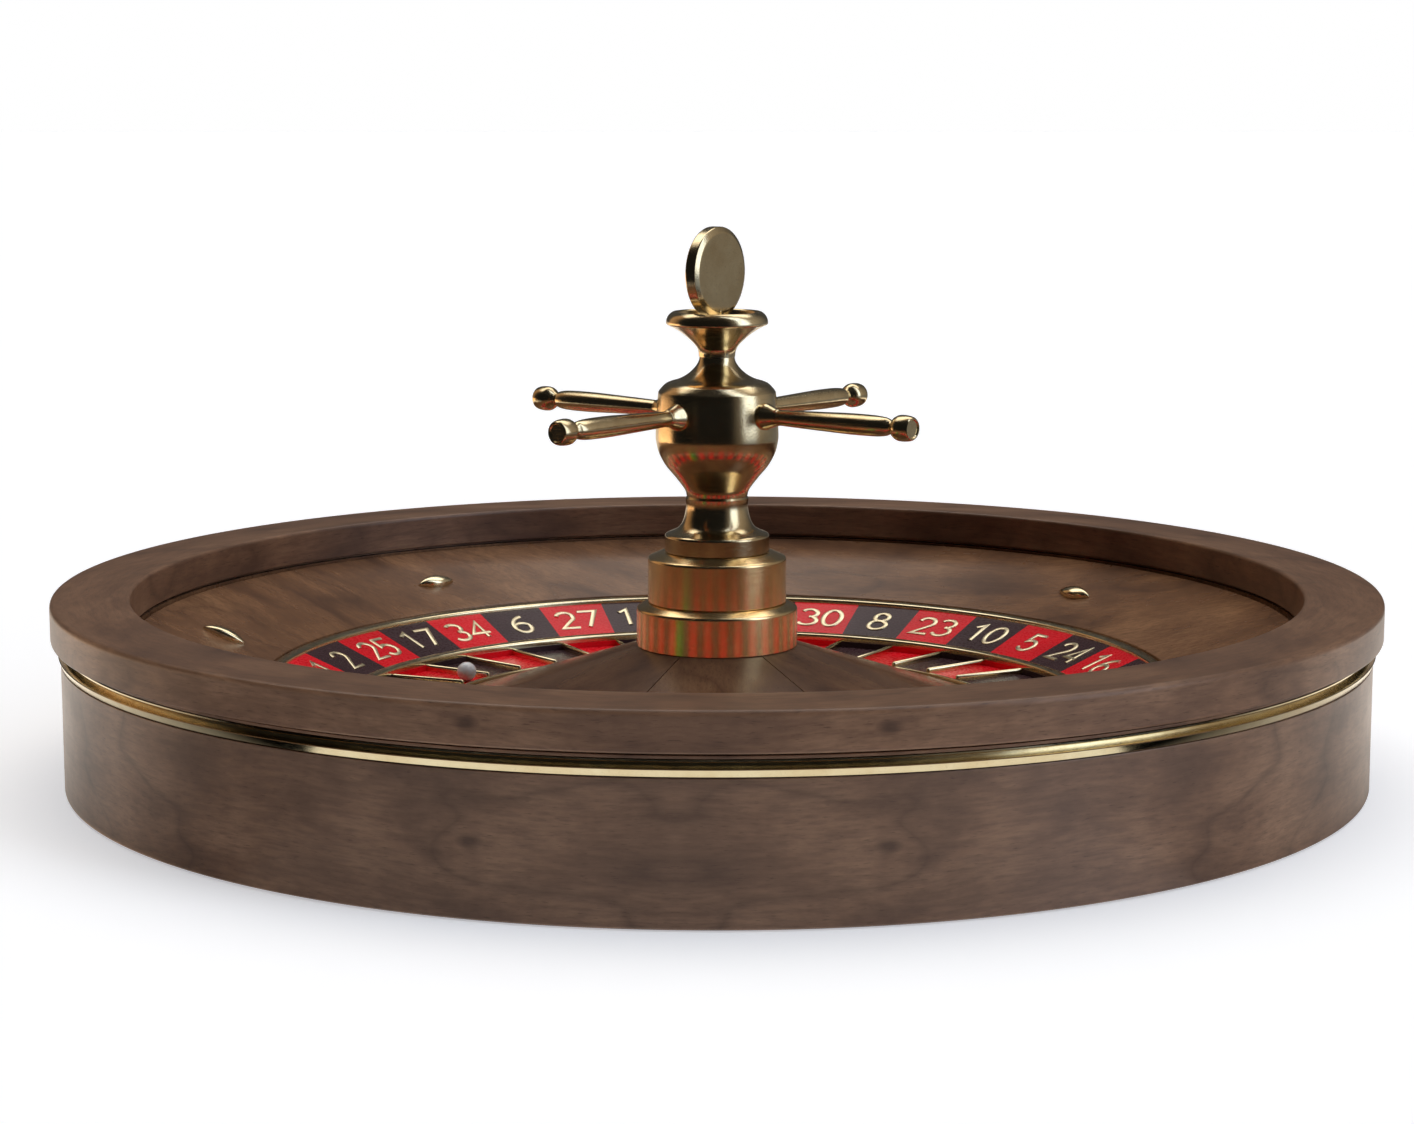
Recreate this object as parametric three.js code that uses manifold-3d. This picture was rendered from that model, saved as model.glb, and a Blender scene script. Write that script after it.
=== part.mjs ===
// Roulette wheel: a wooden bowl that stands on a table, and a rotor that turns on a steel
// spindle inside it and carries the number ring, the pockets, the cone and the brass turret.
// Millimetres, +Z up. The origin is the centre of the flat underside.

import * as THREE from 'three';
import { mergeVertices } from 'three/addons/utils/BufferGeometryUtils.js';
import Module from 'manifold-3d';

const wasm = await Module();
wasm.setup();

// ---------------------------------------------------------------- driving dimensions

const GAP = 0.3;                 // between pieces that touch
const RUNNING_GAP = 1.2;         // between the rotor's edge and the bowl
const BIG_STEPS = 40;            // facets round a large ring
const SMALL_STEPS = 20;          // facets round a turret piece
const BEARING_STEPS = 16;        // facets round a bearing race
const PIN_STEPS = 12;            // facets round a handle or a bolt
const HEXAGON = 6;               // facets round a bolt head or a nut

// Bowl
const DRUM_RADIUS = 400.7;
const DRUM_INNER_RADIUS = 372;
const DRUM_TOP = 78.7;
const BASE_THICKNESS = 16;
const BAND_INNER_RADIUS = 383;
const BAND_BEAD_RADIUS = 402.2;
const BAND_BOTTOM = DRUM_TOP + GAP;
const BAND_BEAD_TOP = 83.4;
const BAND_COVE_RADIUS = 399;
const BAND_COVE_HEIGHT = 2.9;
const BAND_LIP = 1.4;            // how far the top of the cove leans outwards
const BAND_TOP = 87.6;
const RIM_OUTER_RADIUS = 406.5;
const RIM_INNER_RADIUS = 358.9;
const RIM_STEP_RADIUS = 399;
const RIM_BOTTOM = 92;
const RIM_WALL_FOOT = 90.4;
const RIM_TOP = 114.1;
const RIM_OUTER_CHAMFER = 2.5;
const RIM_INNER_CHAMFER = 1.5;
const APRON_INNER_RADIUS = 281;
const APRON_INNER_TOP = 59.9;
const APRON_EDGE_THICKNESS = 10;
const APRON_OUTER_RADIUS = 360.2;
const APRON_SEAT_RADII = [345, 368];
const APRON_SEAT_BOTTOM = 70;
const APRON_TOP = RIM_WALL_FOOT - GAP;
const OUTER_BEARER_RADIUS = 347;
const INNER_BEARER_RADII = [292, 306];
const INNER_BEARER_TOPS = [52.8, 57.1];

// Ball deflectors on the apron, turned by turns along and across the ball's path
const DEFLECTOR_COUNT = 8;
const DEFLECTOR_RADIUS = 315.3;
const DEFLECTOR_FIRST_ANGLE = 38.8;
const DEFLECTOR_SEAT_GAP = 0.7;
const DEFLECTOR_HALF_LENGTH = 14.5;
const DEFLECTOR_HALF_WIDTH = 5.6;
const DEFLECTOR_HEIGHT = 5.5;

// Spindle and bearings
const SPINDLE_RADIUS = 9.75;
const SPINDLE_THREAD_RADIUS = 8;
const SPINDLE_FOOT = 2;
const SPINDLE_SHOULDER = 74;
const SPINDLE_TOP = 88;
const FLANGE_RADIUS = 60;
const FLANGE_TOP = 24;
const FLANGE_COLLAR_RADIUS = 13.5;
const FLANGE_BOLT_CIRCLE = 45;
const FLANGE_BOLT_COUNT = 3;
const BOLT_RADIUS = 4;
const BOLT_HEAD_RADIUS = 7.5;
const BOLT_HEAD_HEIGHT = 5;
const BOLT_FOOT = 5;
const NUT_RADIUS = 13.5;
const NUT_HEIGHT = 9;
const BEARING_WIDTH = 14;
const BEARING_BORE_RADIUS = SPINDLE_RADIUS + GAP;
const BEARING_OUTER_RADIUS = 23.45;
const BEARING_PITCH_RADIUS = 16.75;
const BEARING_BALL_RADIUS = 2.6;
const BEARING_BALL_PLAY = 0.5;
const BEARING_BALL_COUNT = 8;
const CAGE_HALF_WIDTH = 1.2;
const CAGE_HALF_HEIGHT = 1.5;
const LOWER_BEARING_Z = 34;
const UPPER_BEARING_Z = 60;

// Rotor
const HUB_RADIUS = 30;
const HUB_FLANGE_RADIUS = 98;
const HUB_FLANGE_THICKNESS = 7;
const HUB_LEDGE = 3;
const HUB_TOP = 75;
const HEAD_INNER_RADIUS = 62;
const HEAD_OUTER_RADIUS = APRON_INNER_RADIUS - RUNNING_GAP;
const HEAD_BOTTOM = 21.5;
const HEAD_TOP = 30.7;
const SEAT = HEAD_TOP + GAP;     // underside of everything that stands on the wheel head
const OUTER_BEAD_INNER_RADIUS = 275;
const OUTER_BEAD_BOTTOM = 54.4;
const OUTER_BEAD_TOP = 58.4;
const INNER_BEAD_RADII = [232.6, 237.4];
const INNER_BEAD_BOTTOM = 37;
const INNER_BEAD_TOP = 41.2;
const NUMBER_RING_INNER = [237.7, 41.0];
const NUMBER_RING_OUTER = [274.7, 56.2];
const NUMBER_RING_THICKNESS = 3;
const POCKET_COUNT = 37;
const POCKET_ZERO_ANGLE = 219.36;  // azimuth of the middle of the zero pocket, degrees
const POCKET_FLOOR = 33.2;
const POCKET_INNER_RADIUS = 181;
const POCKET_OUTER_RADIUS = 232.6;
const FRET_TOP = 37.5;
const FRET_THICKNESS = 3;
const FRET_HOOP_INNER_RADIUS = 178.8;
const FRET_HOOP_TOP = 34.2;
const FRET_SEGMENT_SIZES = [6, 5, 5, 5, 5, 5, 6];  // fins on each casting, clockwise from zero
const BALL_RADIUS = 6.35;
const BALL_CENTRE_RADIUS = 186.9;
const BALL_POCKET = 7;           // pockets clockwise from zero

// Cone
const CONE_APEX = 90.3;
const CONE_SLOPE = 0.325;
const CONE_INNER_RADIUS = 36;
const CONE_OUTER_RADIUS = 178.1;
const CONE_PANEL_COUNT = 6;
const CONE_PANEL_THICKNESS = 8.4;
const CONE_GROOVE_WIDTH = 0.6;
const CONE_GROOVE_ANGLE = -56.7;
const CONE_BEARER_RADII = [104, 120];

// Turret
const ROD_RADIUS = 6;
const ROD_TOP = 262;
const ROD_HEAD_RADIUS = 14;
const ROD_HEAD_PLAY = 2.5;
const ROD_HEAD_CLEARANCE = 3;    // above the spindle's end
const TURRET_FOOT_RADII = [33, 35];  // the foot on the hub, the start of the skirt over the cone
const TURRET_CLEARANCE = 0.6;    // between the skirt and the cone
const TIER_ONE_RADIUS = 50;
const TIER_ONE_EDGE = 98.5;
const TIER_ONE_TOP = 101.5;
const TIER_TWO_RADIUS = 43;
const TIER_TWO_EDGE = 129.7;
const TIER_TWO_TOP = 132.8;
const TIER_THREE_RADIUS = 33;
const TIER_THREE_EDGE = 143.5;
const COLLAR_TOP = 167.7;
const VASE_TOP = 253.7;
const CUP_TOP = 281.6;
const FINIAL_RADIUS = 28;
const FINIAL_THICKNESS = 9.5;
const FINIAL_CHAMFER = 1.6;
const FINIAL_STEM_RADIUS = 4.2;
const FINIAL_STEM_DEPTH = 8;      // how far the stem runs up into the disc
const FINIAL_CENTRE_Z = 305.5;
const FINIAL_ANGLE = -34;        // azimuth of the way the disc faces, degrees
const HANDLE_COUNT = 4;
const HANDLE_FIRST_ANGLE = -39;
const HANDLE_Z = 219.2;
const HANDLE_TIP = 148.4;
const HANDLE_TENON_RADIUS = 4;
const HANDLE_TENON_START = 20;
const FERRULE_RADIUS = 8.2;
const FERRULE_START = 34;
const FERRULE_END = 48;
const VASE_WALL_RADIUS = 37.8;   // just below the handles

// ---------------------------------------------------------------- materials

function finish(color, roughness, metalness) {
  return new THREE.MeshStandardMaterial({ color, roughness, metalness });
}

const WALNUT = finish(0x55392a, 0.3, 0);
const PLYWOOD = finish(0xb08d5f, 0.7, 0);
const BRASS = finish(0xc9b47a, 0.28, 1);
const STEEL = finish(0x9a9ca0, 0.35, 1);
const ALUMINIUM = finish(0xb4b6b8, 0.4, 1);
const ENAMEL = finish(0xa01c26, 0.25, 0);
const IVORY = finish(0xf0eef2, 0.2, 0);

// ---------------------------------------------------------------- helpers

const group = new THREE.Group();
const degrees = THREE.MathUtils.degToRad;

function add(name, geometry, material) {
  const mesh = new THREE.Mesh(geometry, material);
  mesh.name = name;
  group.add(mesh);
  return mesh;
}

// A solid turned about Z from its outline of [radius, height] points.
// An outline that doesn't start on the axis is closed on itself.
function turned(outline, steps) {
  const points = outline.map(([radius, height]) => new THREE.Vector2(radius, height));
  if (outline[0][0] > 0) {
    points.push(points[0].clone());
  }
  return new THREE.LatheGeometry(points, steps).rotateX(Math.PI / 2);
}

function ring(innerRadius, outerRadius, bottom, top, steps) {
  const outline = [[innerRadius, bottom], [outerRadius, bottom], [outerRadius, top], [innerRadius, top]];
  return turned(outline, steps);
}

function cylinder(radius, bottom, top, steps) {
  const shape = new THREE.CylinderGeometry(radius, radius, top - bottom, steps).rotateX(Math.PI / 2);
  return shape.translate(0, 0, (bottom + top) / 2);
}

// The manifold solid of a closed geometry, without the flat triangles at a lathe's poles.
function solid(geometry) {
  const plain = geometry.clone();
  plain.deleteAttribute('normal');
  plain.deleteAttribute('uv');
  const merged = mergeVertices(plain, 1e-4);
  const corners = merged.index.array;
  const kept = [];
  for (let i = 0; i < corners.length; i += 3) {
    const [a, b, c] = corners.slice(i, i + 3);
    if (a !== b && b !== c && c !== a) {
      kept.push(a, b, c);
    }
  }
  return new wasm.Manifold(new wasm.Mesh({
    numProp: 3,
    vertProperties: new Float32Array(merged.attributes.position.array),
    triVerts: new Uint32Array(kept),
  }));
}

function geometryOf(body) {
  const mesh = body.getMesh();
  const geometry = new THREE.BufferGeometry();
  geometry.setAttribute('position', new THREE.BufferAttribute(mesh.vertProperties, 3));
  geometry.setIndex(new THREE.BufferAttribute(mesh.triVerts, 1));
  geometry.computeVertexNormals();
  return geometry;
}

function cut(geometry, cutters) {
  return geometryOf(cutters.reduce((body, cutter) => body.subtract(solid(cutter)), solid(geometry)));
}

function joined(geometries) {
  return geometryOf(geometries.map(solid).reduce((body, piece) => body.add(piece)));
}

function around(count, make) {
  return Array.from({ length: count }, (_, index) => make(index, (2 * Math.PI * index) / count));
}

// A tall prism over the sector between two angles, for cutting rings into arcs.
function wedgePrism(start, end) {
  const reach = 2 * POCKET_OUTER_RADIUS;
  const sector = new THREE.Shape();
  sector.moveTo(0, 0);
  for (const angle of [start, (start + end) / 2, end]) {
    sector.lineTo(reach * Math.cos(angle), reach * Math.sin(angle));
  }
  return new THREE.ExtrudeGeometry(sector, { depth: RIM_TOP, bevelEnabled: false });
}

function coneHeight(radius) {
  return CONE_APEX - CONE_SLOPE * radius;
}

function pocketAngle(pocketsClockwise) {
  return degrees(POCKET_ZERO_ANGLE) - (2 * Math.PI * pocketsClockwise) / POCKET_COUNT;
}

// ---------------------------------------------------------------- bowl

const apronSlope = (APRON_TOP - APRON_INNER_TOP) / (APRON_OUTER_RADIUS - APRON_INNER_RADIUS);

function flangeBoltHoles(bottom, top) {
  return around(FLANGE_BOLT_COUNT, (_, angle) =>
    cylinder(BOLT_RADIUS + GAP, bottom, top, PIN_STEPS)
      .translate(FLANGE_BOLT_CIRCLE * Math.cos(angle), FLANGE_BOLT_CIRCLE * Math.sin(angle), 0));
}

function addBowl() {
  const board = ring(SPINDLE_RADIUS + GAP, DRUM_INNER_RADIUS - GAP, 0, BASE_THICKNESS, BIG_STEPS);
  add('base_board', cut(board, flangeBoltHoles(BOLT_FOOT - 1, BASE_THICKNESS + 1)), PLYWOOD);
  add('drum_ring', turned([
    [DRUM_INNER_RADIUS, 0],
    [DRUM_RADIUS, 0],
    [DRUM_RADIUS, DRUM_TOP],
    [BAND_INNER_RADIUS - GAP, DRUM_TOP],
    [BAND_INNER_RADIUS - GAP, APRON_TOP],
    [DRUM_INNER_RADIUS, APRON_TOP],
  ], BIG_STEPS), WALNUT);
  add('brass_band', turned([
    [BAND_INNER_RADIUS, BAND_BOTTOM],
    [DRUM_RADIUS, BAND_BOTTOM],
    [BAND_BEAD_RADIUS, BAND_BEAD_TOP - 0.6],
    [BAND_BEAD_RADIUS, BAND_BEAD_TOP],
    [BAND_COVE_RADIUS, BAND_BEAD_TOP],
    [BAND_COVE_RADIUS, BAND_BEAD_TOP + BAND_COVE_HEIGHT],
    [BAND_COVE_RADIUS + BAND_LIP, BAND_TOP],
    [BAND_INNER_RADIUS, BAND_TOP],
  ], BIG_STEPS), BRASS);
  add('rim_ring', turned([
    [RIM_INNER_RADIUS, RIM_WALL_FOOT],
    [BAND_INNER_RADIUS, RIM_WALL_FOOT],
    [BAND_INNER_RADIUS, BAND_TOP + GAP],
    [RIM_STEP_RADIUS, BAND_TOP + GAP],
    [RIM_STEP_RADIUS, RIM_BOTTOM],
    [RIM_OUTER_RADIUS, RIM_BOTTOM],
    [RIM_OUTER_RADIUS, RIM_TOP - RIM_OUTER_CHAMFER],
    [RIM_OUTER_RADIUS - RIM_OUTER_CHAMFER, RIM_TOP],
    [RIM_INNER_RADIUS + RIM_INNER_CHAMFER, RIM_TOP],
    [RIM_INNER_RADIUS, RIM_TOP - RIM_INNER_CHAMFER],
  ], BIG_STEPS), WALNUT);
  const [seatInner, seatOuter] = APRON_SEAT_RADII;
  add('apron_ring', turned([
    [APRON_INNER_RADIUS, APRON_INNER_TOP],
    [APRON_INNER_RADIUS, APRON_INNER_TOP - APRON_EDGE_THICKNESS],
    [seatInner, APRON_SEAT_BOTTOM],
    [seatOuter, APRON_SEAT_BOTTOM],
    [seatOuter, APRON_TOP],
    [APRON_OUTER_RADIUS, APRON_TOP],
  ], BIG_STEPS), WALNUT);
  const bearerFoot = BASE_THICKNESS + GAP;
  add('outer_bearer', ring(OUTER_BEARER_RADIUS, DRUM_INNER_RADIUS - GAP, bearerFoot,
    APRON_SEAT_BOTTOM - GAP, BIG_STEPS), PLYWOOD);
  const [bearerInner, bearerOuter] = INNER_BEARER_RADII;
  const [bearerInnerTop, bearerOuterTop] = INNER_BEARER_TOPS;
  add('inner_bearer', turned([
    [bearerInner, bearerFoot],
    [bearerOuter, bearerFoot],
    [bearerOuter, bearerOuterTop],
    [bearerInner, bearerInnerTop],
  ], BIG_STEPS), PLYWOOD);
}

// A deflector is a brass dome with pointed ends and a flat back.
function deflectorGeometry() {
  const outline = new THREE.Shape();
  outline.moveTo(-DEFLECTOR_HALF_LENGTH, 0);
  outline.quadraticCurveTo(0, -2 * DEFLECTOR_HALF_WIDTH, DEFLECTOR_HALF_LENGTH, 0);
  outline.quadraticCurveTo(0, 2 * DEFLECTOR_HALF_WIDTH, -DEFLECTOR_HALF_LENGTH, 0);
  const extrusion = { depth: DEFLECTOR_HEIGHT, bevelEnabled: false, curveSegments: 6 };
  const prism = new THREE.ExtrudeGeometry(outline, extrusion);
  const dome = new THREE.SphereGeometry(1, 12, 8)
    .scale(DEFLECTOR_HALF_LENGTH * 1.05, DEFLECTOR_HALF_WIDTH * 1.25, DEFLECTOR_HEIGHT);
  return geometryOf(solid(prism).intersect(solid(dome)));
}

function addDeflectors() {
  const slopeAngle = Math.atan(apronSlope);
  const seatHeight = APRON_INNER_TOP + (DEFLECTOR_RADIUS - APRON_INNER_RADIUS) * apronSlope;
  for (let i = 0; i < DEFLECTOR_COUNT; i += 1) {
    const alongPath = i % 2 === 0;
    const place = new THREE.Group();
    place.rotation.z = degrees(DEFLECTOR_FIRST_ANGLE) + (2 * Math.PI * i) / DEFLECTOR_COUNT;
    const seat = new THREE.Group();
    seat.position.set(DEFLECTOR_RADIUS, 0, seatHeight);
    seat.rotation.y = -slopeAngle;
    const mesh = new THREE.Mesh(deflectorGeometry(), BRASS);
    mesh.name = `deflector_${i + 1}`;
    mesh.position.z = DEFLECTOR_SEAT_GAP;
    mesh.rotation.z = alongPath ? Math.PI / 2 : 0;
    seat.add(mesh);
    place.add(seat);
    group.add(place);
  }
}

// ---------------------------------------------------------------- spindle and bearings

function addSpindle() {
  const flange = turned([
    [SPINDLE_RADIUS + GAP, BASE_THICKNESS + GAP],
    [FLANGE_RADIUS, BASE_THICKNESS + GAP],
    [FLANGE_RADIUS, FLANGE_TOP],
    [FLANGE_COLLAR_RADIUS, FLANGE_TOP],
    [FLANGE_COLLAR_RADIUS, LOWER_BEARING_Z - GAP],
    [SPINDLE_RADIUS + GAP, LOWER_BEARING_Z - GAP],
  ], SMALL_STEPS);
  add('spindle_flange', cut(flange, flangeBoltHoles(BASE_THICKNESS, FLANGE_TOP + 1)), STEEL);
  add('spindle', turned([
    [0, SPINDLE_FOOT],
    [SPINDLE_RADIUS, SPINDLE_FOOT],
    [SPINDLE_RADIUS, SPINDLE_SHOULDER],
    [SPINDLE_THREAD_RADIUS, SPINDLE_SHOULDER],
    [SPINDLE_THREAD_RADIUS, SPINDLE_TOP],
    [0, SPINDLE_TOP],
  ], SMALL_STEPS), STEEL);
  around(FLANGE_BOLT_COUNT, (index, angle) => {
    const shank = cylinder(BOLT_RADIUS, BOLT_FOOT, FLANGE_TOP + 1, PIN_STEPS);
    const headTop = FLANGE_TOP + GAP + BOLT_HEAD_HEIGHT;
    const head = cylinder(BOLT_HEAD_RADIUS, FLANGE_TOP + GAP, headTop, HEXAGON);
    const bolt = add(`flange_bolt_${index + 1}`, joined([shank, head]), STEEL);
    bolt.position.set(FLANGE_BOLT_CIRCLE * Math.cos(angle), FLANGE_BOLT_CIRCLE * Math.sin(angle), 0);
  });
  const nutBottom = SPINDLE_SHOULDER + GAP;
  const nutTop = nutBottom + NUT_HEIGHT;
  const nut = cylinder(NUT_RADIUS, nutBottom, nutTop, HEXAGON);
  const nutBore = cylinder(SPINDLE_THREAD_RADIUS + GAP, nutBottom - 1, nutTop + 1, SMALL_STEPS);
  add('spindle_nut', cut(nut, [nutBore]), STEEL);
}

// A bearing is two races with a ring of balls in a cage between them.
function addBearing(name, bottom) {
  const top = bottom + BEARING_WIDTH;
  const middle = bottom + BEARING_WIDTH / 2;
  const raceGap = BEARING_BALL_RADIUS + BEARING_BALL_PLAY;
  add(`${name}_inner_race`, ring(BEARING_BORE_RADIUS, BEARING_PITCH_RADIUS - raceGap,
    bottom, top, BEARING_STEPS), STEEL);
  add(`${name}_outer_race`, ring(BEARING_PITCH_RADIUS + raceGap, BEARING_OUTER_RADIUS,
    bottom, top, BEARING_STEPS), STEEL);
  const cage = ring(BEARING_PITCH_RADIUS - CAGE_HALF_WIDTH, BEARING_PITCH_RADIUS + CAGE_HALF_WIDTH,
    middle - CAGE_HALF_HEIGHT, middle + CAGE_HALF_HEIGHT, BEARING_STEPS);
  const balls = around(BEARING_BALL_COUNT, (_, angle) =>
    new THREE.SphereGeometry(BEARING_BALL_RADIUS, 6, 4)
      .translate(BEARING_PITCH_RADIUS * Math.cos(angle), BEARING_PITCH_RADIUS * Math.sin(angle), middle));
  add(`${name}_cage`, joined([cage, ...balls]), STEEL);
}

// ---------------------------------------------------------------- rotor

function addHub() {
  const boreRadius = BEARING_OUTER_RADIUS + GAP;
  const ledgeRadius = boreRadius - HUB_LEDGE;
  add('rotor_hub', turned([
    [boreRadius, SEAT],
    [HUB_FLANGE_RADIUS, SEAT],
    [HUB_FLANGE_RADIUS, SEAT + HUB_FLANGE_THICKNESS],
    [HUB_RADIUS, SEAT + HUB_FLANGE_THICKNESS],
    [HUB_RADIUS, HUB_TOP],
    [boreRadius, HUB_TOP],
    [boreRadius, UPPER_BEARING_Z - GAP],
    [ledgeRadius, UPPER_BEARING_Z - GAP],
    [ledgeRadius, LOWER_BEARING_Z + BEARING_WIDTH + GAP],
    [boreRadius, LOWER_BEARING_Z + BEARING_WIDTH + GAP],
  ], SMALL_STEPS), ALUMINIUM);
}

// The wheel head is a flat disc. The block on its edge carries the number ring and both beads,
// and its inner wall closes the pockets.
function addWheelHead() {
  add('wheel_head', ring(HEAD_INNER_RADIUS, HEAD_OUTER_RADIUS, HEAD_BOTTOM, HEAD_TOP, BIG_STEPS), WALNUT);
  const innerBeadSeat = INNER_BEAD_BOTTOM - GAP;
  const outerBeadSeat = OUTER_BEAD_BOTTOM - GAP;
  const plateSeat = NUMBER_RING_THICKNESS + GAP + 0.1;
  add('number_ring_block', turned([
    [POCKET_OUTER_RADIUS, SEAT],
    [HEAD_OUTER_RADIUS, SEAT],
    [HEAD_OUTER_RADIUS, outerBeadSeat],
    [OUTER_BEAD_INNER_RADIUS, outerBeadSeat],
    [OUTER_BEAD_INNER_RADIUS, NUMBER_RING_OUTER[1] - plateSeat],
    [NUMBER_RING_INNER[0], NUMBER_RING_INNER[1] - plateSeat],
    [NUMBER_RING_INNER[0], innerBeadSeat],
    [POCKET_OUTER_RADIUS, innerBeadSeat],
  ], BIG_STEPS), WALNUT);
}

function beadRing(innerRadius, outerRadius, bottom, top) {
  const chamfer = 1.4;
  return turned([
    [innerRadius, bottom],
    [outerRadius, bottom],
    [outerRadius, top - chamfer],
    [outerRadius - chamfer, top],
    [innerRadius + chamfer, top],
    [innerRadius, top - chamfer],
  ], BIG_STEPS);
}

function addRings() {
  const [innerRadius, innerTop] = NUMBER_RING_INNER;
  const [outerRadius, outerTop] = NUMBER_RING_OUTER;
  add('number_ring', turned([
    [innerRadius, innerTop - NUMBER_RING_THICKNESS],
    [outerRadius, outerTop - NUMBER_RING_THICKNESS],
    [outerRadius, outerTop],
    [innerRadius, innerTop],
  ], BIG_STEPS), ENAMEL);
  add('outer_bead_ring', beadRing(OUTER_BEAD_INNER_RADIUS, HEAD_OUTER_RADIUS,
    OUTER_BEAD_BOTTOM, OUTER_BEAD_TOP), BRASS);
  add('inner_bead_ring', beadRing(...INNER_BEAD_RADII, INNER_BEAD_BOTTOM, INNER_BEAD_TOP), BRASS);
}

function addPockets() {
  const finEnd = POCKET_OUTER_RADIUS * Math.cos(Math.PI / BIG_STEPS) - GAP;
  add('pocket_ring', ring(POCKET_INNER_RADIUS, finEnd, SEAT, POCKET_FLOOR, BIG_STEPS), ENAMEL);
  addSeparators(finEnd);
  const ball = add('ball', new THREE.IcosahedronGeometry(BALL_RADIUS, 2), IVORY);
  const ballAngle = pocketAngle(BALL_POCKET);
  ball.position.set(BALL_CENTRE_RADIUS * Math.cos(ballAngle), BALL_CENTRE_RADIUS * Math.sin(ballAngle),
    POCKET_FLOOR + GAP + BALL_RADIUS);
}

// The separators are castings: an arc of hoop inside the pockets with a fin between each two.
function addSeparators(finEnd) {
  const hoop = solid(ring(FRET_HOOP_INNER_RADIUS, POCKET_INNER_RADIUS - GAP, SEAT, FRET_HOOP_TOP, BIG_STEPS));
  const finStart = POCKET_INNER_RADIUS - 1;
  const finBottom = POCKET_FLOOR + GAP;
  const fin = new THREE.BoxGeometry(finEnd - finStart, FRET_THICKNESS, FRET_TOP - finBottom)
    .translate((finStart + finEnd) / 2, 0, (finBottom + FRET_TOP) / 2);
  const halfGap = GAP / 2 / POCKET_INNER_RADIUS;
  let first = 0;
  FRET_SEGMENT_SIZES.forEach((size, index) => {
    const start = pocketAngle(first) - halfGap;
    const end = pocketAngle(first + size) + halfGap;
    let casting = hoop.intersect(solid(wedgePrism(end, start)));
    for (let pocket = first; pocket < first + size; pocket += 1) {
      casting = casting.add(solid(fin.clone().rotateZ(pocketAngle(pocket + 0.5))));
    }
    add(`fret_segment_${index + 1}`, geometryOf(casting), BRASS);
    first += size;
  });
}

function addCone() {
  const undersideTop = coneHeight(CONE_INNER_RADIUS) - CONE_PANEL_THICKNESS;
  const undersideFoot = CONE_OUTER_RADIUS - 10;
  const shell = solid(turned([
    [CONE_INNER_RADIUS, undersideTop],
    [undersideFoot, SEAT],
    [CONE_OUTER_RADIUS, SEAT],
    [CONE_OUTER_RADIUS, coneHeight(CONE_OUTER_RADIUS)],
    [CONE_INNER_RADIUS, coneHeight(CONE_INNER_RADIUS)],
  ], BIG_STEPS).rotateZ(degrees(CONE_GROOVE_ANGLE)));
  const halfPanel = Math.PI / CONE_PANEL_COUNT;
  const reach = 2 * CONE_OUTER_RADIUS;
  // The wedge's point stands off the axis so that its sides keep half a groove from the next panel.
  const pointOffset = CONE_GROOVE_WIDTH / 2 / Math.sin(halfPanel);
  const wedge = new THREE.Shape();
  wedge.moveTo(pointOffset, 0);
  wedge.lineTo(pointOffset + reach * Math.cos(halfPanel), -reach * Math.sin(halfPanel));
  wedge.lineTo(pointOffset + reach * Math.cos(halfPanel), reach * Math.sin(halfPanel));
  for (let i = 0; i < CONE_PANEL_COUNT; i += 1) {
    const middle = degrees(CONE_GROOVE_ANGLE) + halfPanel * (2 * i + 1);
    const prism = new THREE.ExtrudeGeometry(wedge, { depth: CONE_APEX, bevelEnabled: false });
    const sector = prism.rotateZ(middle);
    add(`cone_panel_${i + 1}`, geometryOf(shell.intersect(solid(sector))), WALNUT);
  }
  const undersideSlope = (undersideTop - SEAT) / (undersideFoot - CONE_INNER_RADIUS);
  const [bearerInner, bearerOuter] = CONE_BEARER_RADII;
  const bearerTop = (radius) => undersideTop - undersideSlope * (radius - CONE_INNER_RADIUS) - 2 * GAP;
  add('cone_bearer', turned([
    [bearerInner, SEAT],
    [bearerOuter, SEAT],
    [bearerOuter, bearerTop(bearerOuter)],
    [bearerInner, bearerTop(bearerInner)],
  ], BIG_STEPS), PLYWOOD);
}

// ---------------------------------------------------------------- turret

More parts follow.
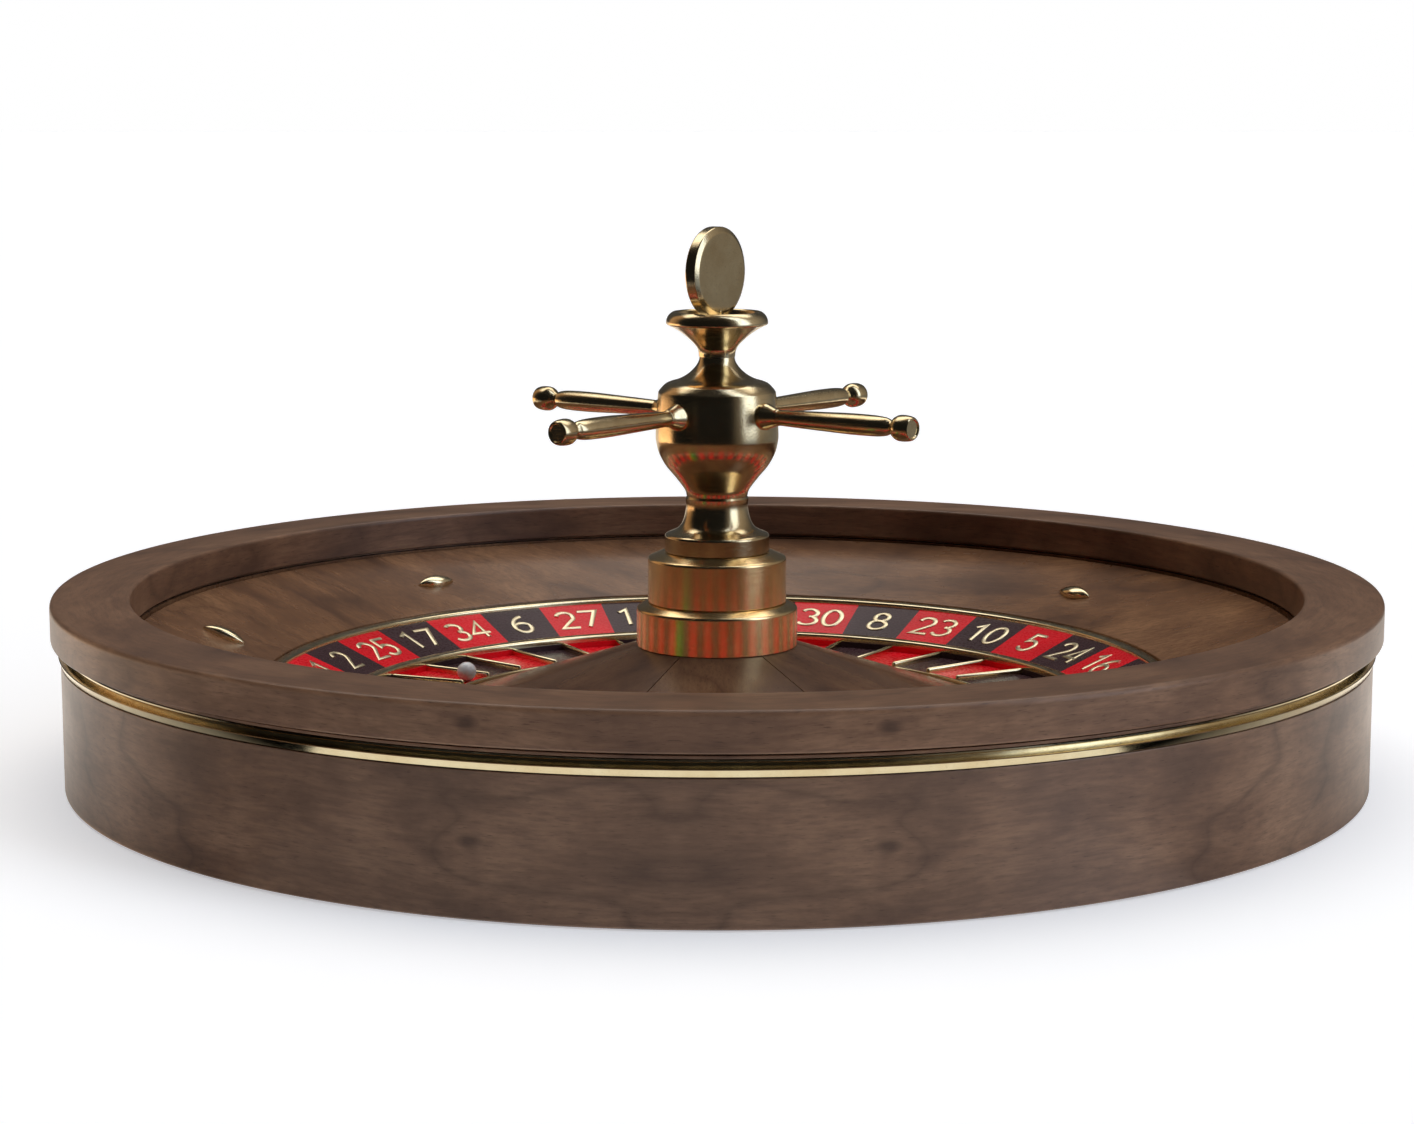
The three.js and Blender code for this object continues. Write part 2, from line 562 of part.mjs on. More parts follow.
function addTurret() {
  const bore = ROD_RADIUS + GAP;
  const headBore = ROD_HEAD_RADIUS + ROD_HEAD_PLAY;
  const [seatRadius, skirtRadius] = TURRET_FOOT_RADII;
  add('turret_base', turned([
    [headBore, HUB_TOP + GAP],
    [seatRadius, HUB_TOP + GAP],
    [skirtRadius, coneHeight(skirtRadius) + TURRET_CLEARANCE],
    [TIER_ONE_RADIUS, coneHeight(TIER_ONE_RADIUS) + TURRET_CLEARANCE],
    [TIER_ONE_RADIUS, TIER_ONE_EDGE],
    [TIER_TWO_RADIUS, TIER_ONE_TOP],
    [headBore, TIER_ONE_TOP],
  ], SMALL_STEPS), BRASS);
  add('turret_tier', turned([
    [bore, TIER_ONE_TOP + GAP],
    [TIER_TWO_RADIUS, TIER_ONE_TOP + GAP],
    [TIER_TWO_RADIUS, TIER_TWO_EDGE],
    [TIER_THREE_RADIUS, TIER_TWO_TOP],
    [bore, TIER_TWO_TOP],
  ], SMALL_STEPS), BRASS);
  add('turret_collar', turned([
    [bore, TIER_TWO_TOP + GAP],
    [TIER_THREE_RADIUS, TIER_TWO_TOP + GAP],
    [TIER_THREE_RADIUS, TIER_THREE_EDGE],
    [26, 145.8],
    [21.9, 149],
    [19.7, 155],
    [19.3, 161],
    [19.6, 166],
    [18.9, COLLAR_TOP],
    [bore, COLLAR_TOP],
  ], SMALL_STEPS), BRASS);
  add('turret_vase', vaseGeometry(bore), BRASS);
  add('turret_cup', turned([
    [bore, VASE_TOP + GAP],
    [11, VASE_TOP + GAP],
    [12.6, 259.4],
    [17.5, 265],
    [25.5, 270.5],
    [31.4, 274.2],
    [31, 276.5],
    [28.8, CUP_TOP],
    [26.5, CUP_TOP],
    [24, 276],
    [14, 269],
    [bore, 266],
  ], SMALL_STEPS), BRASS);
  add('tie_rod', turned([
    [0, SPINDLE_TOP + ROD_HEAD_CLEARANCE],
    [ROD_HEAD_RADIUS, SPINDLE_TOP + ROD_HEAD_CLEARANCE],
    [ROD_HEAD_RADIUS, TIER_ONE_TOP],
    [ROD_RADIUS, TIER_ONE_TOP],
    [ROD_RADIUS, ROD_TOP],
    [0, ROD_TOP],
  ], SMALL_STEPS), STEEL);
  addFinial();
}

// The vase is turned, then bored from four sides for the handles' tenons.
function vaseGeometry(bore) {
  const body = turned([
    [bore, COLLAR_TOP + GAP],
    [18.9, COLLAR_TOP + GAP],
    [20.1, 171.9],
    [25.7, 179.4],
    [34, 190.7],
    [37.2, 199],
    [38, 206],
    [36.4, 231.6],
    [34.5, 235.4],
    [28.7, 239.1],
    [18.8, 242.8],
    [12.6, 248.3],
    [10.8, VASE_TOP],
    [bore, VASE_TOP],
  ], SMALL_STEPS);
  const sockets = around(HANDLE_COUNT, (_, angle) =>
    new THREE.CylinderGeometry(HANDLE_TENON_RADIUS + GAP, HANDLE_TENON_RADIUS + GAP, 30, PIN_STEPS)
      .rotateZ(Math.PI / 2)
      .translate(HANDLE_TENON_START - GAP + 15, 0, HANDLE_Z)
      .rotateZ(degrees(HANDLE_FIRST_ANGLE) + angle));
  return cut(body, sockets);
}

// The finial is an upright disc whose stem drops into the cup.
function addFinial() {
  const half = FINIAL_THICKNESS / 2;
  const disc = turned([
    [0, -half],
    [FINIAL_RADIUS - FINIAL_CHAMFER, -half],
    [FINIAL_RADIUS, FINIAL_CHAMFER - half],
    [FINIAL_RADIUS, half - FINIAL_CHAMFER],
    [FINIAL_RADIUS - FINIAL_CHAMFER, half],
    [0, half],
  ], SMALL_STEPS)
    .rotateY(Math.PI / 2)
    .rotateZ(degrees(FINIAL_ANGLE))
    .translate(0, 0, FINIAL_CENTRE_Z);
  const stemTop = FINIAL_CENTRE_Z - FINIAL_RADIUS + FINIAL_STEM_DEPTH;
  const stem = cylinder(FINIAL_STEM_RADIUS, ROD_TOP + GAP, stemTop, PIN_STEPS);
  add('finial_disc', joined([disc, stem]), BRASS);
}

// Handles point outwards along local X: a tenon, a ferrule scribed to the vase's wall, a swelling
// grip, a neck and a knob.
function addHandles() {
  const gripOutline = [
    [0, HANDLE_TENON_START],
    [HANDLE_TENON_RADIUS, HANDLE_TENON_START],
    [HANDLE_TENON_RADIUS, FERRULE_END - 4],
    [4.6, FERRULE_END - 4],
    [5.5, 66],
    [6.4, 95],
    [6.4, 112],
    [5, 126],
    [3.9, 132.5],
    [7.2, 135.8],
    [8, 139],
    [8, 147.5],
    [6.6, HANDLE_TIP],
    [0, HANDLE_TIP],
  ];
  const ferruleOutline = [
    [0, FERRULE_START],
    [FERRULE_RADIUS, FERRULE_START],
    [FERRULE_RADIUS, VASE_WALL_RADIUS + 1.5],
    [7.2, 42.5],
    [5.2, FERRULE_END],
    [0, FERRULE_END],
  ];
  const vaseWall = cylinder(VASE_WALL_RADIUS + GAP, -FERRULE_START, FERRULE_START, 2 * SMALL_STEPS);
  const ferrule = solid(turned(ferruleOutline, PIN_STEPS).rotateY(Math.PI / 2)).subtract(solid(vaseWall));
  const grip = solid(turned(gripOutline, PIN_STEPS).rotateY(Math.PI / 2));
  const handle = geometryOf(grip.add(ferrule));
  around(HANDLE_COUNT, (index, angle) => {
    const mesh = add(`handle_${index + 1}`, handle, BRASS);
    mesh.position.z = HANDLE_Z;
    mesh.rotation.z = degrees(HANDLE_FIRST_ANGLE) + angle;
  });
}

addBowl();
addDeflectors();
addSpindle();
addBearing('lower_bearing', LOWER_BEARING_Z);
addBearing('upper_bearing', UPPER_BEARING_Z);
addHub();
addWheelHead();
addRings();
addPockets();
addCone();
addTurret();
addHandles();

export default group;
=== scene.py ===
"""Roulette wheel: fine surfaces, procedural materials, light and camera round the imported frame.

Outlines are in millimetres, as [radius, height] points, and become metres when they are turned.
"""

import math

import bmesh
import bpy
from mathutils import Matrix, Vector


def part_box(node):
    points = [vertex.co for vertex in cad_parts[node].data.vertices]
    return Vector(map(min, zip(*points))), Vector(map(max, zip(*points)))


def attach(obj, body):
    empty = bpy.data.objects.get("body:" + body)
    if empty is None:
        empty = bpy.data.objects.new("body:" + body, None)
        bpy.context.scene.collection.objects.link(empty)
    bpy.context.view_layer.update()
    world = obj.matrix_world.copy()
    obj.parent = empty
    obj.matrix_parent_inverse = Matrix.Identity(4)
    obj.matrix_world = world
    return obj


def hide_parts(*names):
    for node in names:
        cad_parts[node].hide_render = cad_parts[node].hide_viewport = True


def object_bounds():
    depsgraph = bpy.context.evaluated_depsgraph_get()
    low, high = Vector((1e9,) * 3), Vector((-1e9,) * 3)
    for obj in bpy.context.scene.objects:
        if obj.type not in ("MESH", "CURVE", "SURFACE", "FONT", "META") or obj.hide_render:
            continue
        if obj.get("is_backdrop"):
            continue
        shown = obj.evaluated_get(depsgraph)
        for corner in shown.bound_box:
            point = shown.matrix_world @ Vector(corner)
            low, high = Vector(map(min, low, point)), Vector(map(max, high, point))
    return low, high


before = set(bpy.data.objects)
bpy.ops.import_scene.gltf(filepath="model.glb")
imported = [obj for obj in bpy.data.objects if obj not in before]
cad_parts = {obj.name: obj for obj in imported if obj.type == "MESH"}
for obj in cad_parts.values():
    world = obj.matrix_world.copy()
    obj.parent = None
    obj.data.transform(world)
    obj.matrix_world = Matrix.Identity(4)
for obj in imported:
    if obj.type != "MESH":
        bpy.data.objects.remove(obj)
cad_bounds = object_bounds()

MM = 0.001


# ---------------------------------------------------------------- sizes taken from the frame

def top(node):
    """Height of a node's highest point, in millimetres."""
    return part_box(node)[1][2] / MM


def foot(node):
    """Height of a node's lowest point, in millimetres."""
    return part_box(node)[0][2] / MM


def reach(node):
    """Outer radius of a ring round the spindle, in millimetres."""
    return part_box(node)[1][0] / MM


def middle(node):
    """Centre of a node's box, in metres."""
    low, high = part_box(node)
    return (Vector(low) + Vector(high)) / 2


# ---------------------------------------------------------------- sizes inside the rings

TURN = 2 * math.pi
BIG_STEPS = 240
SMALL_STEPS = 96
PIN_STEPS = 48
LONG_STRAIGHT = 5
SUPPORT = 0.15

DRUM_INNER_RADIUS = 372
DRUM_FOOT_INSET = 4
DRUM_FOOT_HEIGHT = 1.2
BAND_INNER_RADIUS = 383
BAND_GAP = 0.3
BAND_GROOVE_DEPTH = 8
BAND_GROOVE_FOOT = 4.8
BAND_GROOVE_TOP = 7.2
BAND_LIP_INSET = 3.2
RIM_INNER_RADIUS = 358.9
RIM_WALL_FOOT = 92.3
RIM_UNDERCUT = 4
RIM_SEAT = 90.4
RIM_STEP_RADIUS = 399
RIM_STEP_TOP = 92.0
RIM_STEP_GAP = 0.5
RIM_SHADOW_DEPTH = 12
RIM_SHADOW_DROP = 2.3
APRON_INNER_RADIUS = 281
APRON_INNER_TOP = 59.9
APRON_THICKNESS = 10
APRON_SEAT_RADIUS = 345
APRON_SEAT_HEIGHT = 70
APRON_GROOVE_INNER = RIM_INNER_RADIUS - 1.4
APRON_GROOVE_OUTER = RIM_INNER_RADIUS + 1.3
APRON_GROOVE_DEPTH = 4
APRON_GROOVE_LIP = 1.1
APRON_GRAIN_ANGLE = math.radians(-24)

GRAIN_MIRROR_ANGLE = math.radians(-2.9)

DEFLECTOR_COUNT = 8
DEFLECTOR_RADIUS = 315.3
DEFLECTOR_FIRST_ANGLE = math.radians(38.8)
DEFLECTOR_HALF_LENGTH = 14.5
DEFLECTOR_HALF_WIDTH = 5.6
DEFLECTOR_HEIGHT = 5.5
DEFLECTOR_SINK = 0.1

POCKET_COUNT = 37
POCKET_ZERO_ANGLE = math.radians(219.36)
POCKET_INNER_RADIUS = 181
POCKET_OUTER_RADIUS = 232.3
POCKET_WALL_THICKNESS = 0.5
POCKET_STEPS = 6
FRET_THICKNESS = 3.2
FRET_CREST_STEPS = 6
FRET_SEGMENT_SIZES = (6, 5, 5, 5, 5, 5, 6)
HOOP_INNER_RADIUS = 178.6
HOOP_TOP = 34.6
OUTER_BEAD_INNER_RADIUS = 274.3
INNER_BEAD_INNER_RADIUS = 232.6
NUMBER_INNER_RADIUS = 237.7
NUMBER_INNER_TOP = 41.0
NUMBER_PLATE_THICKNESS = 3.0
NUMBER_STEPS = 8
FIELD_THICKNESS = 0.6
NUMERAL_HEIGHT = 22.0
NUMERAL_WIDTH = 24.5
NUMERAL_STROKE = 1.45
NUMERAL_RELIEF = 0.75
NUMBER_ORDER = (
    0, 32, 15, 19, 4, 21, 2, 25, 17, 34, 6, 27, 13, 36, 11, 30, 8, 23, 10,
    5, 24, 16, 33, 1, 20, 14, 31, 9, 22, 18, 29, 7, 28, 12, 35, 3, 26,
)

CONE_APEX = 90.3
CONE_SLOPE = 0.325
CONE_PANEL_COUNT = 6
CONE_INNER_RADIUS = 36
CONE_OUTER_RADIUS = 178.0
CONE_THICKNESS = 8.4
CONE_SEAT_WIDTH = 10
CONE_PANEL_STEPS = 48
CONE_GRAIN_SPREAD = 0.37
CONE_GROOVE_ANGLE = math.radians(-56.7)
CONE_GROOVE_WIDTH = 0.7

BALL_RADIUS = 6.35
BALL_SINK = 0.2
FLANGE_BOLT_COUNT = 3

TURRET_BORE = 6.3
TURRET_BASE_BORE = 16.5
TURRET_BASE_DEPTH = 26
TURRET_FOOT_RADIUS = 35
TURRET_CLEARANCE = 0.6
TIER_STEP = 3.4
HANDLE_FIRST_ANGLE = math.radians(-39)
HANDLE_COUNT = 4
HANDLE_TIP = 148.2
FINIAL_ANGLE = math.radians(-34)
FINIAL_RADIUS = 28
FINIAL_THICKNESS = 9.5
FINIAL_CHAMFER = 3.4
FINIAL_STEM_RADIUS = 4.2
FINIAL_STEM_HEIGHT = 20


def pocket_angle(pockets_clockwise):
    """Angle of a pocket's middle, counted in pockets from the zero."""
    return POCKET_ZERO_ANGLE - TURN * pockets_clockwise / POCKET_COUNT


def cone_height(radius):
    """Height of the cone's upper face, in millimetres."""
    return CONE_APEX - CONE_SLOPE * radius


# ---------------------------------------------------------------- camera

LENS_LENGTH = 78.65
SENSOR_WIDTH = 36
LENS_SHIFT = -0.0071
CAMERA_PLACE = (0, -1.898, 0.4167)
CAMERA_DOWNWARD_DEGREES = 8.709


def add_camera():
    """A long lens above the rim, looking along +Y and a little down."""
    data = bpy.data.cameras.new("camera")
    data.lens = LENS_LENGTH
    data.sensor_width = SENSOR_WIDTH
    data.shift_x = LENS_SHIFT
    camera = bpy.data.objects.new("camera", data)
    camera.location = CAMERA_PLACE
    camera.rotation_euler = (math.radians(90 - CAMERA_DOWNWARD_DEGREES), 0, 0)
    bpy.context.scene.collection.objects.link(camera)
    bpy.context.scene.camera = camera


# ---------------------------------------------------------------- node graphs

class Graph:
    """A node tree with short calls for the nodes that the materials share."""

    def __init__(self, tree):
        self.tree = tree
        self.nodes = tree.nodes

    def node(self, kind, **settings):
        made = self.nodes.new(kind)
        for key, value in settings.items():
            setattr(made, key, value)
        return made

    def feed(self, socket, value):
        if isinstance(value, bpy.types.NodeSocket):
            self.tree.links.new(value, socket)
        else:
            socket.default_value = value

    def scaled(self, vector, scale):
        node = self.node("ShaderNodeVectorMath", operation="MULTIPLY")
        self.feed(node.inputs[0], vector)
        node.inputs[1].default_value = scale
        return node.outputs[0]

    def shifted(self, vector, amount):
        node = self.node("ShaderNodeVectorMath", operation="ADD")
        self.feed(node.inputs[0], vector)
        self.feed(node.inputs[1], amount)
        return node.outputs[0]

    def noise(self, vector, scale=1.0, detail=3.0, roughness=0.5, distortion=0.0):
        node = self.node("ShaderNodeTexNoise")
        self.feed(node.inputs["Vector"], vector)
        node.inputs["Scale"].default_value = scale
        node.inputs["Detail"].default_value = detail
        node.inputs["Roughness"].default_value = roughness
        node.inputs["Distortion"].default_value = distortion
        return node.outputs["Fac"]

    def noise_color(self, vector, scale):
        node = self.node("ShaderNodeTexNoise")
        self.feed(node.inputs["Vector"], vector)
        node.inputs["Scale"].default_value = scale
        return node.outputs["Color"]

    def math(self, operation, first, second=0.0):
        node = self.node("ShaderNodeMath", operation=operation)
        self.feed(node.inputs[0], first)
        self.feed(node.inputs[1], second)
        return node.outputs[0]

    def span(self, value, low, high, to_low, to_high):
        node = self.node("ShaderNodeMapRange")
        self.feed(node.inputs["Value"], value)
        node.inputs["From Min"].default_value = low
        node.inputs["From Max"].default_value = high
        node.inputs["To Min"].default_value = to_low
        node.inputs["To Max"].default_value = to_high
        return node.outputs["Result"]

    def ramp(self, value, stops):
        node = self.node("ShaderNodeValToRGB")
        self.feed(node.inputs["Fac"], value)
        elements = node.color_ramp.elements
        while len(elements) < len(stops):
            elements.new(1.0)
        for element, (position, color) in zip(elements, stops):
            element.position = position
            element.color = (*color, 1)
        return node.outputs["Color"]

    def mix(self, factor, first, second, blend="MIX"):
        node = self.node("ShaderNodeMix", data_type="RGBA", blend_type=blend)
        self.feed(node.inputs["Factor"], factor)
        for socket, value in ((node.inputs[6], first), (node.inputs[7], second)):
            self.feed(socket, value if isinstance(value, bpy.types.NodeSocket) else (*value, 1))
        return node.outputs[2]

    def knot(self, grain, distance, height):
        """1 at a knot and falling away from it, longer along the fibres than across."""
        parts = self.node("ShaderNodeSeparateXYZ")
        self.feed(parts.inputs[0], grain)
        along = self.math("MULTIPLY", self.math("SUBTRACT", parts.outputs["X"], distance), 0.55)
        up = self.math("SUBTRACT", parts.outputs["Z"], height)
        square = self.math("ADD", self.math("MULTIPLY", along, along), self.math("MULTIPLY", up, up))
        return self.math("DIVIDE", KNOT_SIZE ** 2, self.math("ADD", square, KNOT_SIZE ** 2))

    def bump(self, height, strength, distance, normal=None):
        node = self.node("ShaderNodeBump")
        node.inputs["Strength"].default_value = strength
        node.inputs["Distance"].default_value = distance
        self.feed(node.inputs["Height"], height)
        if normal is not None:
            self.feed(node.inputs["Normal"], normal)
        return node.outputs["Normal"]


def new_material(name):
    material = bpy.data.materials.new(name)
    material.use_nodes = True
    graph = Graph(material.node_tree)
    return material, graph, graph.nodes["Principled BSDF"].inputs


def attribute(graph, name):
    return graph.node("ShaderNodeAttribute", attribute_name=name).outputs["Vector"]


def place(graph):
    return graph.node("ShaderNodeTexCoord").outputs["Object"]


# ---------------------------------------------------------------- materials

WALNUT_LIGHT = (0.33, 0.185, 0.108)
WALNUT_MID = (0.222, 0.117, 0.067)
WALNUT_DARK = (0.102, 0.052, 0.033)
WALNUT_VEIN = (0.036, 0.018, 0.014)
WALNUT_PORE = (0.02, 0.011, 0.009)
KNOT_DISTANCE = 0.107
KNOT_SIZE = 0.0055


def walnut(name, rough, sheen, knot_height=None, stain=(1, 1, 1)):
    """Lacquered walnut, with a knot at KNOT_DISTANCE along the fibres if it is given a height.

    The "grain" attribute runs along the fibres in x, in metres.
    """
    material, graph, inputs = new_material(name)
    grain = attribute(graph, "grain")
    drift = graph.scaled(graph.noise_color(graph.scaled(grain, (5, 14, 14)), 1.0), (0.05, 0.03, 0.03))
    warped = graph.shifted(grain, drift)
    figure = graph.noise(graph.scaled(warped, (6, 12, 12)), detail=2.0, roughness=0.45)
    if knot_height is not None:
        knot = graph.knot(grain, KNOT_DISTANCE, knot_height)
        figure = graph.math("ADD", figure, graph.math("MULTIPLY", knot, 0.12))
    rings = graph.math("PINGPONG", graph.math("MULTIPLY", figure, 7.0), 1.0)
    veins = graph.ramp(rings, [(0.0, (1, 1, 1)), (0.06, (0.6, 0.6, 0.6)), (0.2, (0.15, 0.15, 0.15)),
                               (0.6, (0, 0, 0)), (1.0, (0.3, 0.3, 0.3))])
    fibres = graph.noise(graph.scaled(warped, (55, 420, 420)), detail=5.0, roughness=0.65)
    clouds = graph.noise(graph.scaled(warped, (14, 17, 17)), detail=5.0, roughness=0.6)
    bands = graph.noise(graph.scaled(warped, (5, 38, 38)), detail=4.0, roughness=0.55)
    tone = graph.math("ADD", graph.math("MULTIPLY", clouds, 0.6), graph.math("MULTIPLY", bands, 0.4))
    shades = (WALNUT_DARK, WALNUT_MID, WALNUT_LIGHT)
    stained = [tuple(part * value for part, value in zip(stain, shade)) for shade in shades]
    base = graph.ramp(tone, list(zip((0.33, 0.5, 0.67), stained)))
    streaked = graph.mix(graph.span(fibres, 0.38, 0.68, 0.0, 0.55), base, WALNUT_DARK)
    veined = graph.mix(graph.math("MULTIPLY", veins, 0.36), streaked, WALNUT_VEIN)
    if knot_height is not None:
        veined = graph.mix(graph.span(knot, 0.6, 0.95, 0.0, 0.6), veined, WALNUT_VEIN)
    pores = graph.noise(graph.scaled(grain, (140, 1500, 1500)), detail=2.0)
    graph.feed(inputs["Base Color"], graph.mix(graph.span(pores, 0.62, 0.72, 0.0, 0.45), veined, WALNUT_PORE))
    graph.feed(inputs["Roughness"], graph.span(tone, 0.35, 0.65, rough + 0.06, rough))
    inputs["Specular IOR Level"].default_value = sheen
    inputs["Coat Weight"].default_value = 0.4 * sheen
    inputs["Coat Roughness"].default_value = 0.5 * rough
    relief = graph.math("ADD", graph.math("MULTIPLY", fibres, 0.6), graph.math("MULTIPLY", pores, 0.4))
    graph.feed(inputs["Normal"], graph.bump(relief, 0.1, 0.0003))
    return material


def brass(name, pale, deep, rough_low, rough_high, speckle=0.3, pitting=0.1, lathe_marks=0.0):
    """Polished brass with a faint tarnish, fine scratches and a pitted, slightly uneven surface.

    Lathe marks run round Z and blur what the brass mirrors up and down.
    """
    material, graph, inputs = new_material(name)
    where = place(graph)
    tarnish = graph.noise(where, scale=38.0, detail=5.0, roughness=0.6)
    specks = graph.noise(where, scale=900.0, detail=2.0, roughness=0.7)
    toned = graph.mix(graph.span(tarnish, 0.35, 0.7, 0.0, 1.0), pale, deep)
    spotted = graph.mix(graph.span(specks, 0.6, 0.75, 0.0, speckle), toned, tuple(0.45 * c for c in deep))
    graph.feed(inputs["Base Color"], spotted)
    inputs["Metallic"].default_value = 1.0
    wear = graph.noise(graph.scaled(where, (1, 1, 9)), scale=110.0, detail=6.0, roughness=0.65)
    graph.feed(inputs["Roughness"], graph.span(wear, 0.3, 0.72, rough_low, rough_high))
    dents = graph.noise(where, scale=26.0, detail=2.0)
    uneven = graph.bump(dents, 0.05, 0.0012)
    graph.feed(inputs["Normal"], graph.bump(specks, pitting, 0.00012, uneven))
    if lathe_marks:
        inputs["Anisotropic"].default_value = lathe_marks
        inputs["Anisotropic Rotation"].default_value = 0.25
        tangent = graph.node("ShaderNodeTangent", direction_type="RADIAL", axis="Z")
        graph.feed(inputs["Tangent"], tangent.outputs[0])
    return material


def metal(name, color, rough):
    """Machined steel or aluminium with turning marks."""
    material, graph, inputs = new_material(name)
    where = place(graph)
    marks = graph.noise(graph.scaled(where, (1, 1, 14)), scale=160.0, detail=4.0)
    graph.feed(inputs["Base Color"], graph.mix(marks, color, tuple(0.75 * c for c in color)))
    inputs["Metallic"].default_value = 1.0
    graph.feed(inputs["Roughness"], graph.span(marks, 0.3, 0.7, rough, rough + 0.15))
    graph.feed(inputs["Normal"], graph.bump(marks, 0.08, 0.0002))
    return material


def plywood():
    """Bare birch ply: pale face with a soft figure and short pores."""
    material, graph, inputs = new_material("plywood")
    where = place(graph)
    figure = graph.noise(graph.scaled(where, (4, 40, 120)), detail=5.0, roughness=0.6, distortion=0.6)
    pores = graph.noise(graph.scaled(where, (80, 900, 900)), detail=2.0)
    base = graph.ramp(figure, [
        (0.3, (0.34, 0.22, 0.12)), (0.55, (0.52, 0.37, 0.22)), (0.75, (0.6, 0.45, 0.29)),
    ])
    graph.feed(inputs["Base Color"], graph.mix(graph.span(pores, 0.6, 0.7, 0, 0.4), base, (0.2, 0.12, 0.06)))
    graph.feed(inputs["Roughness"], graph.span(figure, 0.3, 0.7, 0.62, 0.78))
    graph.feed(inputs["Normal"], graph.bump(figure, 0.15, 0.0005))
    return material


def enamel(name, color, shade):
    """Glossy fired enamel: a little uneven in colour and surface, with a few fine scratches."""
    material, graph, inputs = new_material(name)
    where = place(graph)
    pool = graph.noise(where, scale=45.0, detail=3.0)
    graph.feed(inputs["Base Color"], graph.mix(graph.span(pool, 0.35, 0.7, 0.0, 1.0), color, shade))
    scratches = graph.noise(graph.scaled(where, (1, 1, 4)), scale=420.0, detail=5.0, roughness=0.7)
    graph.feed(inputs["Roughness"], graph.span(scratches, 0.35, 0.75, 0.22, 0.38))
    inputs["Specular IOR Level"].default_value = 0.16
    inputs["Coat Weight"].default_value = 0.04
    inputs["Coat Roughness"].default_value = 0.08
    graph.feed(inputs["Normal"], graph.bump(pool, 0.05, 0.0006))
    return material


def ivory():
    """Cast white ball with a faint cool mottling under its polish."""
    material, graph, inputs = new_material("ivory_ball")
    where = place(graph)
    mottle = graph.noise(where, scale=320.0, detail=4.0)
    graph.feed(inputs["Base Color"], graph.mix(mottle, (0.86, 0.87, 0.93), (0.72, 0.73, 0.8)))
    graph.feed(inputs["Roughness"], graph.span(mottle, 0.3, 0.7, 0.12, 0.25))
    inputs["Subsurface Weight"].default_value = 0.15
    inputs["Subsurface Radius"].default_value = (0.004, 0.003, 0.003)
    inputs["Coat Weight"].default_value = 0.4
    graph.feed(inputs["Normal"], graph.bump(mottle, 0.03, 0.0001))
    return material


DRUM_WOOD = walnut("walnut_drum", 0.4, 0.6, knot_height=0.042)
RIM_WOOD = walnut("walnut_rim", 0.38, 0.35, knot_height=0.104)
APRON_WOOD = walnut("walnut_apron", 0.24, 0.22, stain=(1.1, 1.04, 0.9))
CONE_WOOD = walnut("walnut_cone", 0.2, 0.26, stain=(0.76, 0.74, 0.7))
PLY = plywood()
TIER_BRASS = brass(
    "brass_tiers", (0.98, 0.76, 0.42), (0.86, 0.58, 0.28), 0.17, 0.27,
    speckle=0.4, pitting=0.45, lathe_marks=0.55,
)
TURRET_BRASS = brass(
    "brass_turret", (0.8, 0.67, 0.43), (0.64, 0.49, 0.28), 0.12, 0.22, speckle=0.45, pitting=0.45,
)
TRIM_BRASS = brass("brass_trim", (0.86, 0.76, 0.52), (0.76, 0.62, 0.38), 0.12, 0.24)
NUMERAL_BRASS = brass("brass_numerals", (0.9, 0.8, 0.58), (0.8, 0.68, 0.44), 0.28, 0.42, speckle=0.2)
STEEL = metal("steel", (0.55, 0.56, 0.58), 0.25)
ALUMINIUM = metal("aluminium", (0.72, 0.73, 0.74), 0.32)
RED = enamel("enamel_red", (0.85, 0.012, 0.024), (0.7, 0.009, 0.018))
BLACK = enamel("enamel_black", (0.048, 0.024, 0.028), (0.062, 0.031, 0.036))
GREEN = enamel("enamel_green", (0.03, 0.36, 0.02), (0.025, 0.3, 0.015))
IVORY = ivory()


# ---------------------------------------------------------------- shapes

def softened(outline, steps=4):
    """Round the corners of a closed outline. A corner's third value is how far its round reaches."""
    points = []
    count = len(outline)
    for index, corner in enumerate(outline):
        here = Vector(corner[:2])
        if len(corner) < 3:
            points.append(tuple(here))
            continue
        before = Vector(outline[index - 1][:2]) - here
        after = Vector(outline[(index + 1) % count][:2]) - here
        start = here + before.normalized() * corner[2]
        end = here + after.normalized() * corner[2]
        for step in range(steps + 1):
            t = step / steps
            points.append(tuple((1 - t) ** 2 * start + 2 * t * (1 - t) * here + t ** 2 * end))
    return points


def flowing(points, steps=5):
    """A smooth curve through points (Catmull-Rom), for turned profiles."""
    padded = [points[0], *points, points[-1]]
    curve = []
    for index in range(len(points) - 1):
        a, b, c, d = (Vector(point) for point in padded[index:index + 4])
        for step in range(steps):
            t = step / steps
            curve.append(tuple(0.5 * ((2 * b) + (c - a) * t + (2 * a - 5 * b + 4 * c - d) * t ** 2
                                      + (3 * b - a - 3 * c + d) * t ** 3)))
    curve.append(tuple(points[-1]))
    return curve


def welded(verts, faces):
    """Join vertices that lie together, and drop the faces that this flattens."""
    kept, index_of, swap = [], {}, []
    for vert in verts:
        key = tuple(round(value, 7) for value in vert)
        if key not in index_of:
            index_of[key] = len(kept)
            kept.append(vert)
        swap.append(index_of[key])
    clean = []
    for face in faces:
        loop = []
        for corner in face:
            if not loop or loop[-1] != swap[corner]:
                loop.append(swap[corner])
        if loop[0] == loop[-1]:
            loop.pop()
        if len(loop) > 2:
            clean.append(loop)
    return kept, clean


